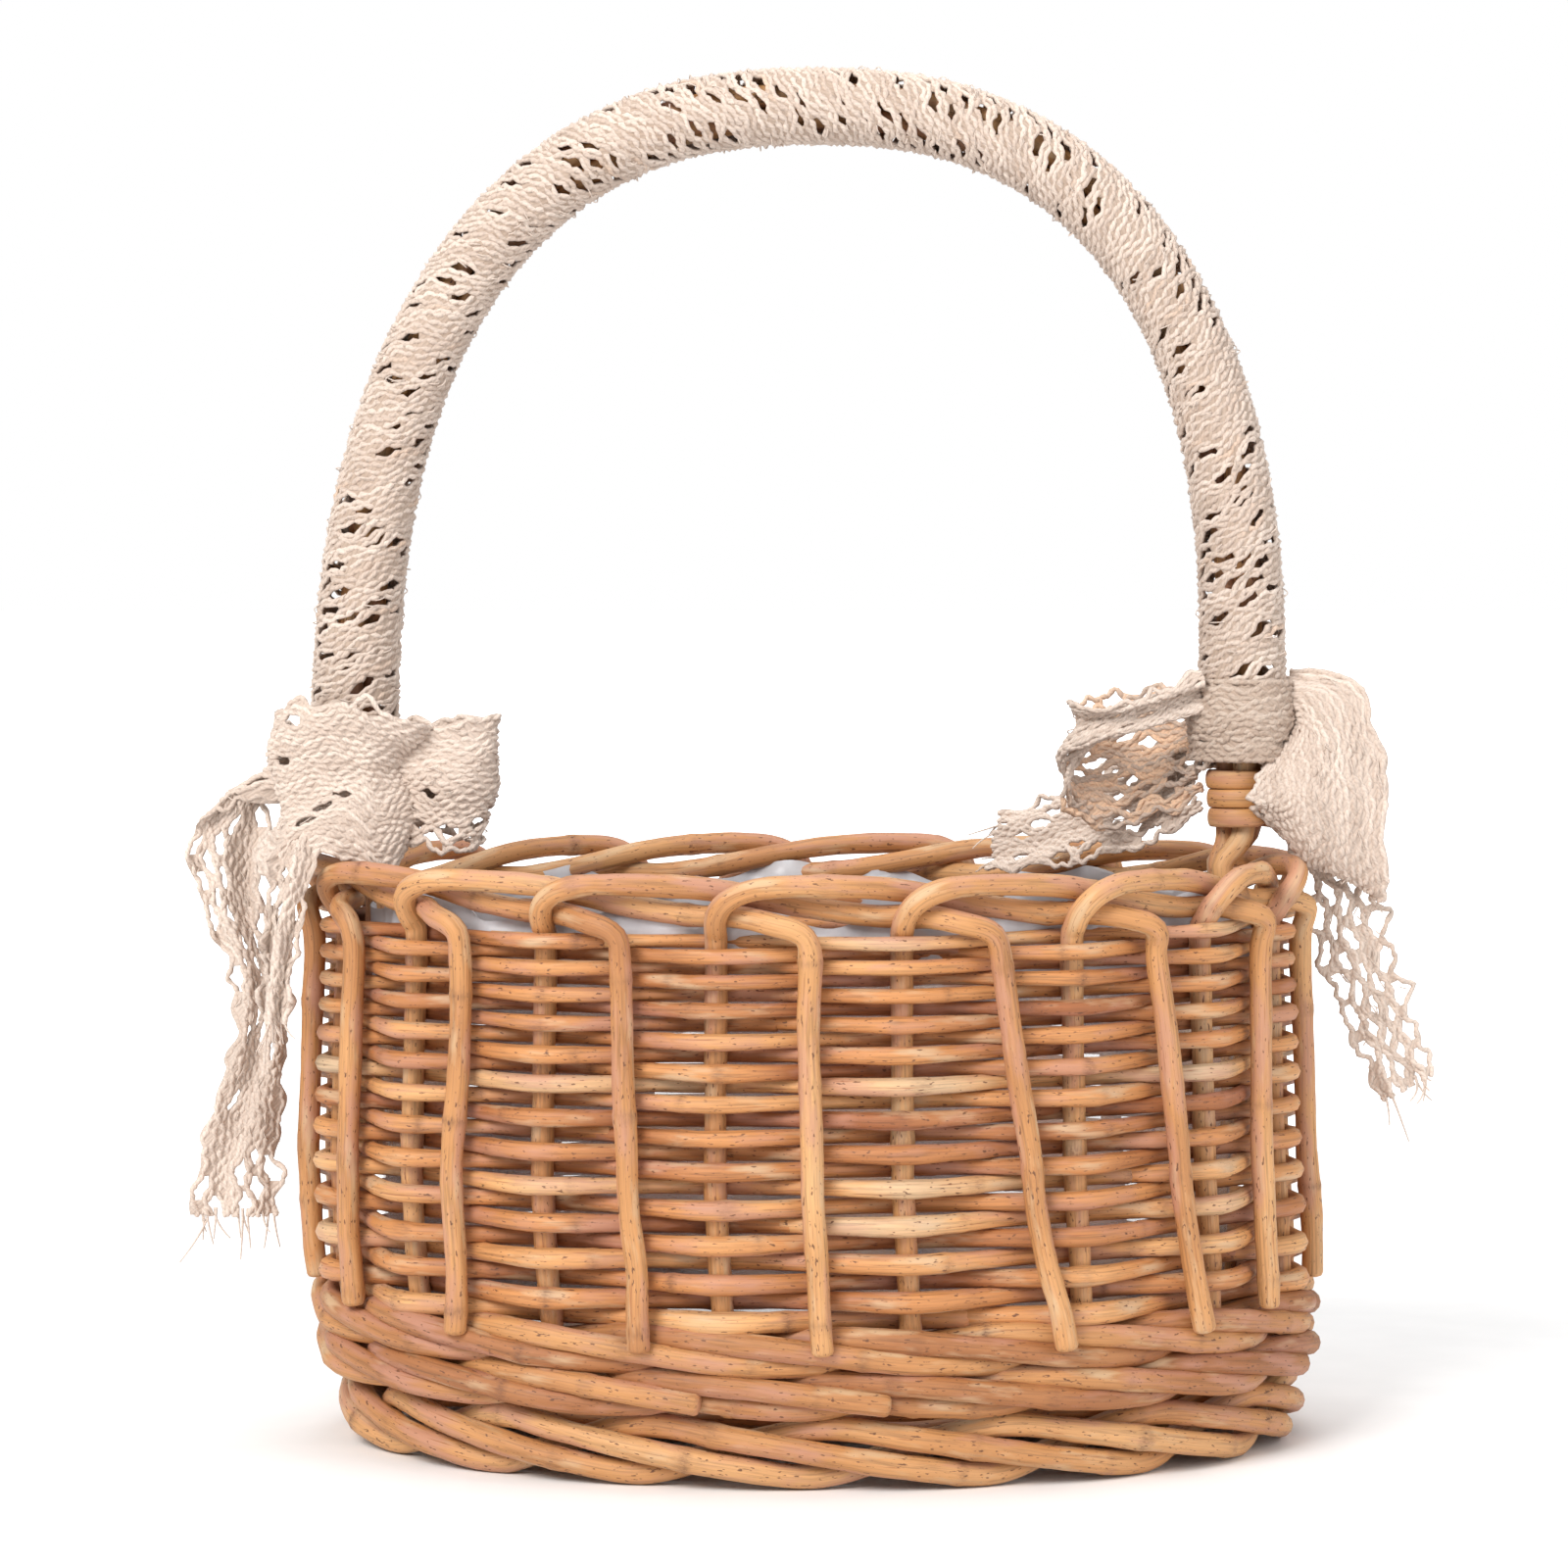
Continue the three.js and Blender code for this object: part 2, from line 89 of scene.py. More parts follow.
STAKES = names_like("stake_")
WEAVERS = names_like("side_weaver_")
STAKE_COUNT = len(STAKES)
FOOT_LOW, FOOT_HIGH = box_mm("foot_ring")
CENTRE = (FOOT_LOW + FOOT_HIGH) / 2
WIDTH_MINUS_DEPTH = ((FOOT_HIGH - FOOT_LOW)[0] - (FOOT_HIGH - FOOT_LOW)[1]) / 2

STAKE_RADIUS = 2.25
WALE_RADIUS = 2.4
FOOT_STRAND_RADIUS = 2.5
CAD_WEAVE_REACH = 3.95          # middle surface to the middle of a weaver in front of a stake
CAD_WEAVER_HALF = 1.55
STEPS_PER_WEAVER = 36


def wall_profile():
    """Height and half width of the wall's middle surface, from the weavers' boxes."""
    rows = []
    for node in WEAVERS[:-1]:
        low, high = box_mm(node)
        half = (high[0] - low[0]) / 2 - CAD_WEAVE_REACH - CAD_WEAVER_HALF
        rows.append(((low[2] + high[2]) / 2, half))
    heights, halves = np.array(rows).T
    heights = np.concatenate([[0, 15, 20], heights, [130]])
    halves = np.concatenate([halves[0] - [3.6, 1.8, 1.2], halves, [halves[-1]]])
    return heights, halves


PROFILE_Z, PROFILE_HALF = wall_profile()
WALL_X, WALL_Y = (np.add(*box_mm(WEAVERS[0])) / 2)[:2]


def step_angle(step):
    return (step + 0.5) / STAKE_COUNT * 2 * np.pi - np.pi / 2


def wall_frame(step, z):
    """Points on the wall's middle surface and the outward directions there. Towards the foot the
    wall leans over to where the foot stands."""
    angle = step_angle(np.asarray(step, float))
    lean = (CENTRE[0] - WALL_X) * np.interp(z, (16, 60), (0.85, 0))
    half = np.interp(z, PROFILE_Z, PROFILE_HALF)
    deep = half - WIDTH_MINUS_DEPTH
    flat = np.stack([half * np.cos(angle), deep * np.sin(angle), np.zeros_like(angle)], -1)
    out = np.stack([deep * np.cos(angle), half * np.sin(angle), np.zeros_like(angle)], -1)
    out /= np.linalg.norm(out, axis=-1, keepdims=True)
    flat[..., 2] = z
    flat[..., :2] += (WALL_X, WALL_Y)
    flat[..., 0] += lean
    return flat, out


def wall_path(step, offset, z):
    base, out = wall_frame(step, z)
    return base + out * np.asarray(offset)[..., None], out


# ---- Swept rods and threads --------------------------------------------------------------
def catmull_rom(points, per_span):
    """A smooth curve through rows of numbers, per_span samples between each pair."""
    points = np.asarray(points, float)
    padded = np.concatenate([[2 * points[0] - points[1]], points, [2 * points[-1] - points[-2]]])
    t = np.linspace(0, 1, per_span, endpoint=False)[:, None]
    spans = []
    for i in range(1, len(padded) - 2):
        a, b, c, d = padded[i - 1:i + 3]
        spans.append(0.5 * (2 * b + (c - a) * t + (2 * a - 5 * b + 4 * c - d) * t ** 2
                            + (3 * b - a - 3 * c + d) * t ** 3))
    return np.concatenate(spans + [points[-1:]])


def even_spacing(points, extra, spacing):
    """Resamples a path, and the rows that go with it, at an even distance."""
    gaps = np.linalg.norm(np.diff(points, axis=0), axis=1)
    along = np.concatenate([[0], np.cumsum(gaps)])
    wanted = np.linspace(0, along[-1], max(3, int(along[-1] / spacing) + 1))
    def pick(rows):
        return np.stack([np.interp(wanted, along, rows[:, i]) for i in range(rows.shape[1])], -1)
    return pick(points), pick(extra), wanted


def slow_wave(along, wavelength, rng):
    """A smooth wander between about -1 and 1, the same every run."""
    total = np.zeros_like(along)
    for share in (1.0, 0.53, 0.29):
        total += share * np.sin(2 * np.pi * along / (wavelength * share) + rng.uniform(0, 6.28))
    return total / 1.6


class Strands:
    """Gathers swept rods or threads into one mesh, with what the materials read."""

    def __init__(self):
        self.points, self.faces, self.place, self.tone, self.scar = [], [], [], [], []
        self.count = 0

    def sweep(self, path, out, radius, sides, flat=1.0, tone=0.5, scar=None, seed=0.0, taper=True):
        """Sweeps an oval section, radius outwards and radius * flat across, along a path in mm."""
        rings = len(path)
        radius = np.broadcast_to(np.asarray(radius, float), (rings,))
        tangent = np.gradient(path, axis=0)
        tangent /= np.linalg.norm(tangent, axis=1, keepdims=True) + 1e-12
        normal = out - tangent * np.sum(out * tangent, axis=1, keepdims=True)
        normal /= np.linalg.norm(normal, axis=1, keepdims=True) + 1e-12
        across = np.cross(tangent, normal)
        gaps = np.linalg.norm(np.diff(path, axis=0), axis=1)
        along = np.concatenate([[0], np.cumsum(gaps)])
        if taper:
            path, normal, across, radius, along, scar, tone = self._round_ends(
                path, tangent, normal, across, radius, along, scar, tone)
            rings = len(path)
        angle = np.linspace(0, 2 * np.pi, sides, endpoint=False)
        x = radius[:, None] * np.cos(angle)
        y = radius[:, None] * flat * np.sin(angle)
        ring = path[:, None] + normal[:, None] * x[..., None] + across[:, None] * y[..., None]
        place = np.stack([np.repeat(along[:, None], sides, 1) + seed * 40, x, y], -1)
        tone = np.broadcast_to(np.asarray(tone, float), (rings,))
        marks = np.zeros((rings, sides)) if scar is None else scar[:, None] * (0.35 + 0.65 * np.cos((angle - seed * 7) / 2) ** 2)
        self._add(ring, place, np.repeat(tone[:, None], sides, 1), marks)

    @staticmethod
    def _round_ends(path, tangent, normal, across, radius, along, scar, tone):
        """Adds two shrinking rings at each end, so that a cut end is rounded over."""
        shares = ((0.28, 0.86), (0.42, 0.5))
        tone = np.broadcast_to(np.asarray(tone, float), (len(path),))
        scar = np.zeros(len(path)) if scar is None else scar
        head = [path[0] - tangent[0] * radius[0] * far for far, _ in reversed(shares)]
        tail = [path[-1] + tangent[-1] * radius[-1] * far for far, _ in shares]
        def pad(rows):
            return np.concatenate([rows[:1], rows[:1], rows, rows[-1:], rows[-1:]])
        head_radius = [radius[0] * share for _, share in reversed(shares)]
        tail_radius = [radius[-1] * share for _, share in shares]
        return (np.concatenate([head, path, tail]), pad(normal), pad(across),
                np.concatenate([head_radius, radius, tail_radius]), pad(along), pad(scar), pad(tone))

    def _add(self, ring, place, tone, marks):
        rings, sides = ring.shape[:2]
        index = np.arange(rings * sides).reshape(rings, sides) + self.count
        a, b = index[:-1], index[1:]
        quads = np.stack([a, np.roll(a, -1, 1), np.roll(b, -1, 1), b], -1).reshape(-1, 4)
        self.faces.extend(quads.tolist())
        self.faces.append(index[0][::-1].tolist())
        self.faces.append(index[-1].tolist())
        self.points.append(ring.reshape(-1, 3))
        self.place.append(place.reshape(-1, 3))
        self.tone.append(tone.reshape(-1))
        self.scar.append(marks.reshape(-1))
        self.count += rings * sides

    def add_sheet(self, point, normal, shape, keep, half_thickness, u, v, tone):
        """A closed thin sheet over a grid of points; only the cells in keep are made."""
        rows, columns = shape
        total = rows * columns
        index = np.arange(total).reshape(rows, columns)
        cells = np.stack([index[:-1, :-1], index[1:, :-1], index[1:, 1:], index[:-1, 1:]], -1)[keep]
        edges = np.concatenate([cells[:, [i, (i + 1) % 4]] for i in range(4)])
        keys = np.sort(edges, 1) @ np.array([total, 1])
        _, first, times = np.unique(keys, return_index=True, return_counts=True)
        rim = edges[first[times == 1]]
        walls = np.stack([rim[:, 1], rim[:, 0], rim[:, 0] + total, rim[:, 1] + total], -1)
        faces = np.concatenate([cells, cells[:, ::-1] + total, walls])
        points = np.concatenate([point + normal * half_thickness, point - normal * half_thickness])
        used, faces = np.unique(faces, return_inverse=True)
        faces = faces.reshape(-1, 4) + self.count
        self.faces.extend(faces.tolist())
        self.points.append(points[used])
        place = np.stack([u, v, np.zeros_like(u)], -1)
        self.place.append(np.concatenate([place, place])[used])
        self.tone.append(np.concatenate([tone, tone])[used])
        self.scar.append(np.zeros(len(used)))
        self.count += len(used)

    def build(self, name, material):
        mesh = bpy.data.meshes.new(name)
        mesh.from_pydata((np.concatenate(self.points) * MM).tolist(), [], self.faces)
        mesh.polygons.foreach_set("use_smooth", [True] * len(mesh.polygons))
        for label, kind, rows, key in (("place", "FLOAT_VECTOR", self.place, "vector"),
                                       ("tone", "FLOAT", self.tone, "value"),
                                       ("scar", "FLOAT", self.scar, "value")):
            attribute = mesh.attributes.new(label, kind, "POINT")
            attribute.data.foreach_set(key, np.concatenate(rows).astype(np.float32).ravel())
        mesh.materials.append(material)
        piece = bpy.data.objects.new(name, mesh)
        bpy.context.scene.collection.objects.link(piece)
        return piece


def willow_rod(strands, path, out, radius, rng, sides=10, flat=1.0, tone=0.5, spacing=1.6, taper=True):
    """One peeled rod: uneven thickness, swollen leaf scars and a wander in tone."""
    radius = np.broadcast_to(np.asarray(radius, float), (len(path),))
    tone = np.broadcast_to(np.asarray(tone, float), (len(path),))
    path, rest, along = even_spacing(path, np.column_stack([out, radius, tone]), spacing)
    out, radius, tone = rest[:, :3], rest[:, 3], rest[:, 4]
    thickness = 1 + 0.05 * slow_wave(along, 47, rng) + 0.02 * slow_wave(along, 11, rng)
    scar = np.zeros_like(along)
    place = rng.uniform(4, 26)
    while place < along[-1]:
        bump = np.exp(-((along - place) / 1.3) ** 2)
        thickness += 0.09 * bump
        scar = np.maximum(scar, rng.uniform(0.35, 1.0) * np.exp(-((along - place) / 1.0) ** 2))
        place += rng.uniform(24, 52)
    tones = np.clip(tone + 0.16 * slow_wave(along, 90, rng), 0, 1)
    strands.sweep(path, out, radius * thickness, sides, flat, tones, scar, rng.uniform(0, 1), taper)


def settle(piece, body, material_slot, *nodes):
    """Puts a finished piece on its body, in place of its CAD nodes."""
    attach(piece, body)
    if nodes:
        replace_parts(piece, *nodes)
    return piece


# ---- Materials ---------------------------------------------------------------------------
class Shader:
    """Short names for building a node material."""

    def __init__(self, name):
        self.material = bpy.data.materials.new(name)
        self.material.use_nodes = True
        self.tree = self.material.node_tree
        self.tree.nodes.clear()
        self.output = self.tree.nodes.new("ShaderNodeOutputMaterial")
        self.bsdf = self.node("ShaderNodeBsdfPrincipled")
        self.link(self.bsdf.outputs[0], self.output.inputs["Surface"])

    def node(self, kind, **settings):
        made = self.tree.nodes.new(kind)
        for key, value in settings.items():
            if key in made.inputs:
                made.inputs[key].default_value = value
            else:
                setattr(made, key, value)
        return made

    def link(self, source, target):
        self.tree.links.new(source, target)

    def attribute(self, name):
        return self.node("ShaderNodeAttribute", attribute_name=name)

    def stretched(self, source, scale):
        mapping = self.node("ShaderNodeMapping", Scale=scale)
        self.link(source, mapping.inputs["Vector"])
        return mapping.outputs[0]

    def noise(self, vector, scale, detail=4.0, roughness=0.55):
        made = self.node("ShaderNodeTexNoise", Scale=scale, Detail=detail, Roughness=roughness)
        self.link(vector, made.inputs["Vector"])
        return made.outputs["Fac"]

    def ramp(self, source, *stops):
        made = self.node("ShaderNodeValToRGB")
        elements = made.color_ramp.elements
        while len(elements) < len(stops):
            elements.new(0.5)
        for element, (position, colour) in zip(elements, stops):
            element.position = position
            element.color = (*colour, 1) if len(colour) == 3 else colour
        self.link(source, made.inputs["Fac"])
        return made.outputs["Color"]

    def math(self, operation, a, b, clamp=False):
        made = self.node("ShaderNodeMath", operation=operation, use_clamp=clamp)
        for socket, value in zip(made.inputs, (a, b)):
            if hasattr(value, "links"):
                self.link(value, socket)
            else:
                socket.default_value = value
        return made.outputs[0]

    def mix(self, factor, a, b, blend="MIX"):
        made = self.node("ShaderNodeMix", data_type="RGBA", blend_type=blend)
        for socket, value in ((made.inputs[0], factor), (made.inputs[6], a), (made.inputs[7], b)):
            if hasattr(value, "links"):
                self.link(value, socket)
            else:
                socket.default_value = value if isinstance(value, float) else (*value, 1)
        return made.outputs[2]

    def bump(self, height, strength, distance):
        made = self.node("ShaderNodeBump", Strength=strength, Distance=distance)
        self.link(height, made.inputs["Height"])
        return made

    def finish(self, colour, roughness, bump, **extra):
        self.link(colour, self.bsdf.inputs["Base Color"])
        if hasattr(roughness, "links"):
            self.link(roughness, self.bsdf.inputs["Roughness"])
        else:
            self.bsdf.inputs["Roughness"].default_value = roughness
        self.link(bump.outputs[0], self.bsdf.inputs["Normal"])
        for key, value in extra.items():
            self.bsdf.inputs[key].default_value = value
        return self.material


def grey(value):
    return (value, value, value)


def willow_material(name, dark, middle, light, pale):
    """Peeled willow: long fibres, slow colour changes, dark leaf scars and bark specks."""
    s = Shader(name)
    place = s.attribute("place").outputs["Vector"]
    tone = s.attribute("tone").outputs["Fac"]
    scar = s.attribute("scar").outputs["Fac"]
    drift = s.noise(s.stretched(place, (0.02, 0.09, 0.09)), 1.0, 3.0)
    shade = s.math("ADD", tone, s.math("MULTIPLY", s.math("SUBTRACT", drift, 0.5), 0.55), True)
    colour = s.ramp(shade, (0.0, dark), (0.38, middle), (0.72, light), (1.0, pale))
    grain = s.noise(s.stretched(place, (0.055, 1.9, 1.9)), 1.0, 6.0, 0.62)
    streaks = s.ramp(grain, (0.3, grey(0.5)), (0.5, grey(0.97)), (0.75, grey(1.15)))
    colour = s.mix(0.9, colour, streaks, "MULTIPLY")
    blotch = s.noise(s.stretched(place, (0.05, 0.22, 0.22)), 1.0, 3.0)
    blush = s.ramp(blotch, (0.5, grey(0.0)), (0.64, grey(0.65)))
    colour = s.mix(blush, colour, (0.48, 0.235, 0.165))
    bare = s.noise(s.stretched(place, (0.037, 0.17, 0.17)), 1.7, 3.0)
    bleached = s.ramp(bare, (0.55, grey(0.0)), (0.7, grey(0.7)))
    colour = s.mix(bleached, colour, pale)
    specks = s.noise(s.stretched(place, (0.5, 1.5, 1.5)), 1.3, 2.0, 0.5)
    spots = s.ramp(specks, (0.645, grey(0.0)), (0.69, grey(0.9)))
    colour = s.mix(spots, colour, (0.12, 0.045, 0.02))
    cracks = s.noise(s.stretched(place, (0.07, 3.1, 3.1)), 1.0, 3.0, 0.5)
    lines = s.ramp(cracks, (0.3, grey(0.75)), (0.36, grey(0.0)))
    colour = s.mix(lines, colour, dark)
    rough = s.noise(s.stretched(place, (0.8, 2.5, 2.5)), 1.0, 5.0, 0.7)
    wound = s.math("MULTIPLY", scar, s.ramp(rough, (0.35, grey(0.15)), (0.6, grey(1.0))), True)
    colour = s.mix(s.math("MULTIPLY", wound, 0.95), colour, (0.12, 0.045, 0.025))
    fibres = s.noise(s.stretched(place, (0.12, 5.5, 5.5)), 1.0, 5.0, 0.65)
    height = s.math("ADD", s.math("MULTIPLY", fibres, 0.6), s.math("MULTIPLY", wound, -0.8))
    roughness = s.math("ADD", 0.4, s.math("MULTIPLY", grain, 0.3))
    return s.finish(colour, roughness, s.bump(height, 0.55, 0.25 * MM))


def lace_material(name, light, shade):
    """Cotton thread: two-ply twist with painted groove shade, soft fuzz, slight uneven dye; tone paints light and
    shade.
    """
    s = Shader(name)
    place = s.attribute("place").outputs["Vector"]
    tone = s.attribute("tone").outputs["Fac"]
    cloud = s.noise(s.stretched(place, (0.06, 0.4, 0.4)), 1.0, 3.0)
    mixed = s.math("ADD", s.math("MULTIPLY", cloud, 0.5), s.math("MULTIPLY", tone, 0.5))
    # Painted light and shade: low tone runs to the shade colour and, lowest, to a warm tan standing for light glowing
    # through the lace from behind.
    colour = s.ramp(mixed, (0.0, (0.88, 0.6, 0.41)), (0.28, shade), (0.62, light))
    twist = s.node("ShaderNodeTexWave", Scale=0.55, Distortion=1.2, Detail=2.0)
    twist.bands_direction = "DIAGONAL"
    s.link(place, twist.inputs["Vector"])
    # Painted shade in the grooves of the twist.
    groove_painted_shade = s.ramp(twist.outputs["Fac"], (0.0, grey(0.8)), (0.45, grey(1.0)))
    colour = s.mix(0.75, colour, groove_painted_shade, "MULTIPLY")
    fuzz = s.noise(s.stretched(place, (4.0, 9.0, 9.0)), 1.0, 4.0, 0.7)
    height = s.math("ADD", s.math("MULTIPLY", twist.outputs["Fac"], 0.7), s.math("MULTIPLY", fuzz, 0.5))
    material = s.finish(colour, 0.92, s.bump(height, 0.6, 0.12 * MM))
    s.bsdf.inputs["Sheen Weight"].default_value = 0.12
    s.bsdf.inputs["Sheen Roughness"].default_value = 0.6
    return material


def film_material():
    """Thin milky film that lets some light through and creases where it is folded."""
    s = Shader("liner_film")
    where = s.node("ShaderNodeTexCoord").outputs["Object"]
    creases = s.noise(where, 55.0, 6.0, 0.6)
    # Painted shade and highlight: the film is greyer in the hollows of its creases and paler on their ridges.
    colour = s.ramp(creases, (0.3, (0.5, 0.5, 0.54)), (0.65, (0.7, 0.69, 0.71)))
    fine = s.noise(where, 240.0, 4.0, 0.6)
    height = s.math("ADD", creases, s.math("MULTIPLY", fine, 0.25))
    material = s.finish(colour, 0.34, s.bump(height, 0.5, 0.8 * MM))
    split = s.node("ShaderNodeSeparateXYZ")
    s.link(where, split.inputs[0])
    gathered = s.node("ShaderNodeMapRange")
    s.link(split.outputs["Z"], gathered.inputs["Value"])
    for key, value in (("From Min", 0.094), ("From Max", 0.108), ("To Min", 0.16), ("To Max", 0.7)):
        gathered.inputs[key].default_value = value
    s.link(gathered.outputs[0], s.bsdf.inputs["Alpha"])
    return material


WILLOW = willow_material("willow_rod", (0.34, 0.13, 0.045), (0.53, 0.25, 0.09), (0.64, 0.35, 0.15),
                         (0.60, 0.42, 0.25))
WEAVER = willow_material("willow_weaver", (0.32, 0.108, 0.037), (0.57, 0.246, 0.084), (0.68, 0.36, 0.148),
                         (0.60, 0.43, 0.27))
SKEIN = willow_material("willow_skein", (0.36, 0.15, 0.05), (0.52, 0.24, 0.08), (0.6, 0.31, 0.12),
                        (0.66, 0.4, 0.19))
LACE = lace_material("lace_cotton", (0.73, 0.61, 0.525), (0.55, 0.435, 0.36))
# A darker copy of the lace cotton: painted shade, for the handle's ground between the cords and for the right knot.
LACE_PAINTED_SHADE = lace_material("lace_painted_shade", (0.56, 0.45, 0.37), (0.42, 0.31, 0.24))
FILM = film_material()


# ---- Willow: stakes, weave, wale, foot and base ------------------------------------------
# Course of one stake after it clears the weave: [stakes passed, outward offset, height].
RIM_COURSE = [[0, 1.4, 110.6], [0.01, 3.0, 113.0], [0.06, 4.7, 115.8], [0.16, 4.9, 117.9],
              [0.32, 3.6, 118.9], [0.65, 1.4, 118.9], [1, -1.4, 117.9], [1.5, -2.4, 114.6],
              [1.85, -2.6, 112.9], [2.05, -1.0, 112.9], [2.19, 2.4, 112.7], [2.32, 4.9, 111.7],
              [2.43, 5.7, 110.6], [2.49, 5.4, 108.6]]
STAKE_LEVELS = (15.5, 24, 32, 45, 58, 71, 84, 96, 108)
UPRIGHT_LEVELS = (104, 92, 79, 66, 54, 44, 36, 29)
UPRIGHT_OFFSET = 4.3
UPRIGHT_TOP = 110.0
# Sideways lean of each upright's foot, in stake spacings, as the CAD stakes have it.
UPRIGHT_LEAN = (-0.12, 0.06, 0.1, -0.08, 0.14, 0.04, -0.1, 0.12, -0.06, 0.08, -0.05,
                -0.05, -0.05, 0.08, 0.02, 0.3, 0.22)


def stake_course(index, rng):
    lean = UPRIGHT_LEAN[index]
    course = [[0, 0, z] for z in STAKE_LEVELS] + RIM_COURSE
    endwise = abs(math.cos(step_angle(index + 2.5))) ** 4
    for z in UPRIGHT_LEVELS:
        z += 5.0 * endwise * (z < 60)
        fall = (UPRIGHT_TOP - z) / (UPRIGHT_TOP - UPRIGHT_LEVELS[-1])
        shift = lean * fall + rng.uniform(-0.012, 0.012)
        flare = np.interp(z, (29, 34, 44), (2.6, 1.9, 0)) * (1 - endwise)
        course.append([2.5 + shift, UPRIGHT_OFFSET + 2 * CAD_WEAVE_REACH * abs(shift) * 0.8 + flare, z])
    return np.array(course, float)


def add_stakes():
    for index, node in enumerate(STAKES):
        rng = np.random.default_rng(100 + index)
        course = catmull_rom(stake_course(index, rng), 8)
        path, out = wall_path(index + course[:, 0], course[:, 1], course[:, 2])
        strands = Strands()
        tone = rng.uniform(0.25, 0.62)
        willow_rod(strands, path, out, STAKE_RADIUS, rng, 12, 1.0, tone, 1.3)
        settle(strands.build(node + "_willow", WILLOW), ROOT, "willow_rod", node)


# The weave spirals up: its height after any number of rounds, with closer rows near the rim.
ROUNDS = 23
ROW_START = 33.9
ROW_PITCH = (3.95, 2.5)


WEAVER_LAP = 0.4                # each rod starts behind the end of the one before, inside a stake
LEAD_IN_STEPS = 10              # the first rod comes up from behind the wale before its first round


def row_height(rounds):
    first, last = ROW_PITCH
    gain = np.where(rounds > 0, first, 0.5 * first)
    return ROW_START + gain * rounds + (last - first) * rounds ** 2 / (2 * ROUNDS)


def row_pitch(rounds):
    return np.interp(rounds, (0, ROUNDS), ROW_PITCH)


def weave_wave(step):
    """Side of the wall that a weaver is on: -1 inside at even stakes, +1 outside at odd ones."""
    sharp = 0.93
    return -np.arcsin(sharp * np.cos(np.pi * step)) / np.arcsin(sharp)


def add_side_weave():
    start = 0
    for number, node in enumerate(WEAVERS):
        rng = np.random.default_rng(300 + number)
        strands = Strands()
        if number == 0:
            start = -LEAD_IN_STEPS
        lengths = (12, 12, 12) if number < len(WEAVERS) - 1 else (14, 15, 14)
        if number == 0:
            lengths = (LEAD_IN_STEPS, *lengths)
        for length in lengths:
            step = np.arange(start - WEAVER_LAP, start + length + WEAVER_LAP, 0.08)
            side = weave_wave(step)
            rounds = step / STAKE_COUNT
            pitch = row_pitch(rounds)
            z = row_height(rounds) + 0.3 * slow_wave(step * 31, 260, rng)
            settle_in = 0.9 * (1 - side ** 2)
            into_lap = np.clip((start + WEAVER_LAP - step) / (2 * WEAVER_LAP), 0, 1)
            settle_in = settle_in + 1.6 * into_lap
            path, out = wall_path(step, side * (CAD_WEAVE_REACH - 0.1) - settle_in, z)
            width = np.interp(pitch, (2.5, 3.95), (1.52, 2.15)) * rng.uniform(0.95, 1.06)
            width *= 1 + 0.14 * np.clip(1.2 - rounds, 0, 1)
            radius = width * (0.87 + 0.13 * side ** 2)
            tone = rng.choice([0.15, 0.35, 0.5, 0.65, 0.8, 0.95], p=[0.14, 0.24, 0.24, 0.18, 0.1, 0.1])
            # Painted shade: a weaver's tone drops where it passes inside, behind the stakes.
            willow_rod(strands, path, out, radius, rng, 8, 1.0, tone - 0.14 * (1 - side), 1.7)
            start += length
        settle(strands.build(node + "_willow", WEAVER), ROOT, "willow_weaver", node)


# A wale rod repeats over three stakes, two of them passed on the outside while it sinks to the
# right: outward offset and rise at every half stake.
WALE_CYCLE = np.array([[-4.3, 0], [0.9, 2.6], [4.2, 2.1], [4.2, 0.0], [4.1, -2.1], [0.6, -2.7]])
FOOT_CYCLE = np.array([[-2.4, 0.4], [1.2, 4.8], [3.3, 2.9], [3.6, 0.0], [2.9, -2.9], [0.2, -4.7]])
WALE_TONES, FOOT_TONES = (0.0, 0.38), (0.3, 0.75)
BACK_STEP = STAKE_COUNT / 2 + 0.5
WALE_LAP = 1.3                  # stakes over which a new rod lies behind the end of the old one


def border_rod(strands, rng, cycle, rod, place, radius, tones, end_step=None):
    """One rod of a border, laid from the back all the way round to behind the start of the next;
    place maps it to the wall."""
    halves = np.arange(2 * STAKE_COUNT + 2)
    rows = catmull_rom(np.column_stack([halves / 2 + BACK_STEP, cycle[(halves + 2 * rod) % 6]]), 6)
    rows[:, 1] -= 4.0 * np.clip(rows[:, 0] - BACK_STEP - STAKE_COUNT + 0.6, 0, 0.9)
    lengths = [rows]
    if end_step is not None:
        old = rows[rows[:, 0] <= end_step]
        new = rows[rows[:, 0] > end_step - WALE_LAP].copy()
        behind = np.clip((end_step + 0.5 - new[:, 0]) / 0.7, 0, 1)
        new[:, 1] -= 4.4 * behind
        lengths = [old, new]
    for part in lengths:
        path, out = place(part[:, 0], part[:, 1], part[:, 2])
        willow_rod(strands, path, out, radius, rng, 12, 1.0, rng.uniform(*tones), 1.5)


def add_wale():
    """Two bands of three-rod wale. Two rods end on the outside, near the middle of the front."""
    ends = {("lower", 0): STAKE_COUNT - 0.16, ("lower", 1): STAKE_COUNT - 1.14,
            ("upper", 2): STAKE_COUNT + 3.2}
    for level in ("lower", "upper"):
        low, high = box_mm(f"wale_{level}_rod_1")
        centre = (low[2] + high[2]) / 2
        for rod in range(3):
            node = f"wale_{level}_rod_{rod + 1}"
            rng = np.random.default_rng(500 + rod + 10 * (level == "upper"))
            strands = Strands()
            border_rod(strands, rng, WALE_CYCLE, rod, lambda step, out, rise: wall_path(step, out, centre + rise),
                       WALE_RADIUS, WALE_TONES, ends.get((level, rod)))
            settle(strands.build(node + "_willow", WILLOW), ROOT, "willow_rod", node)


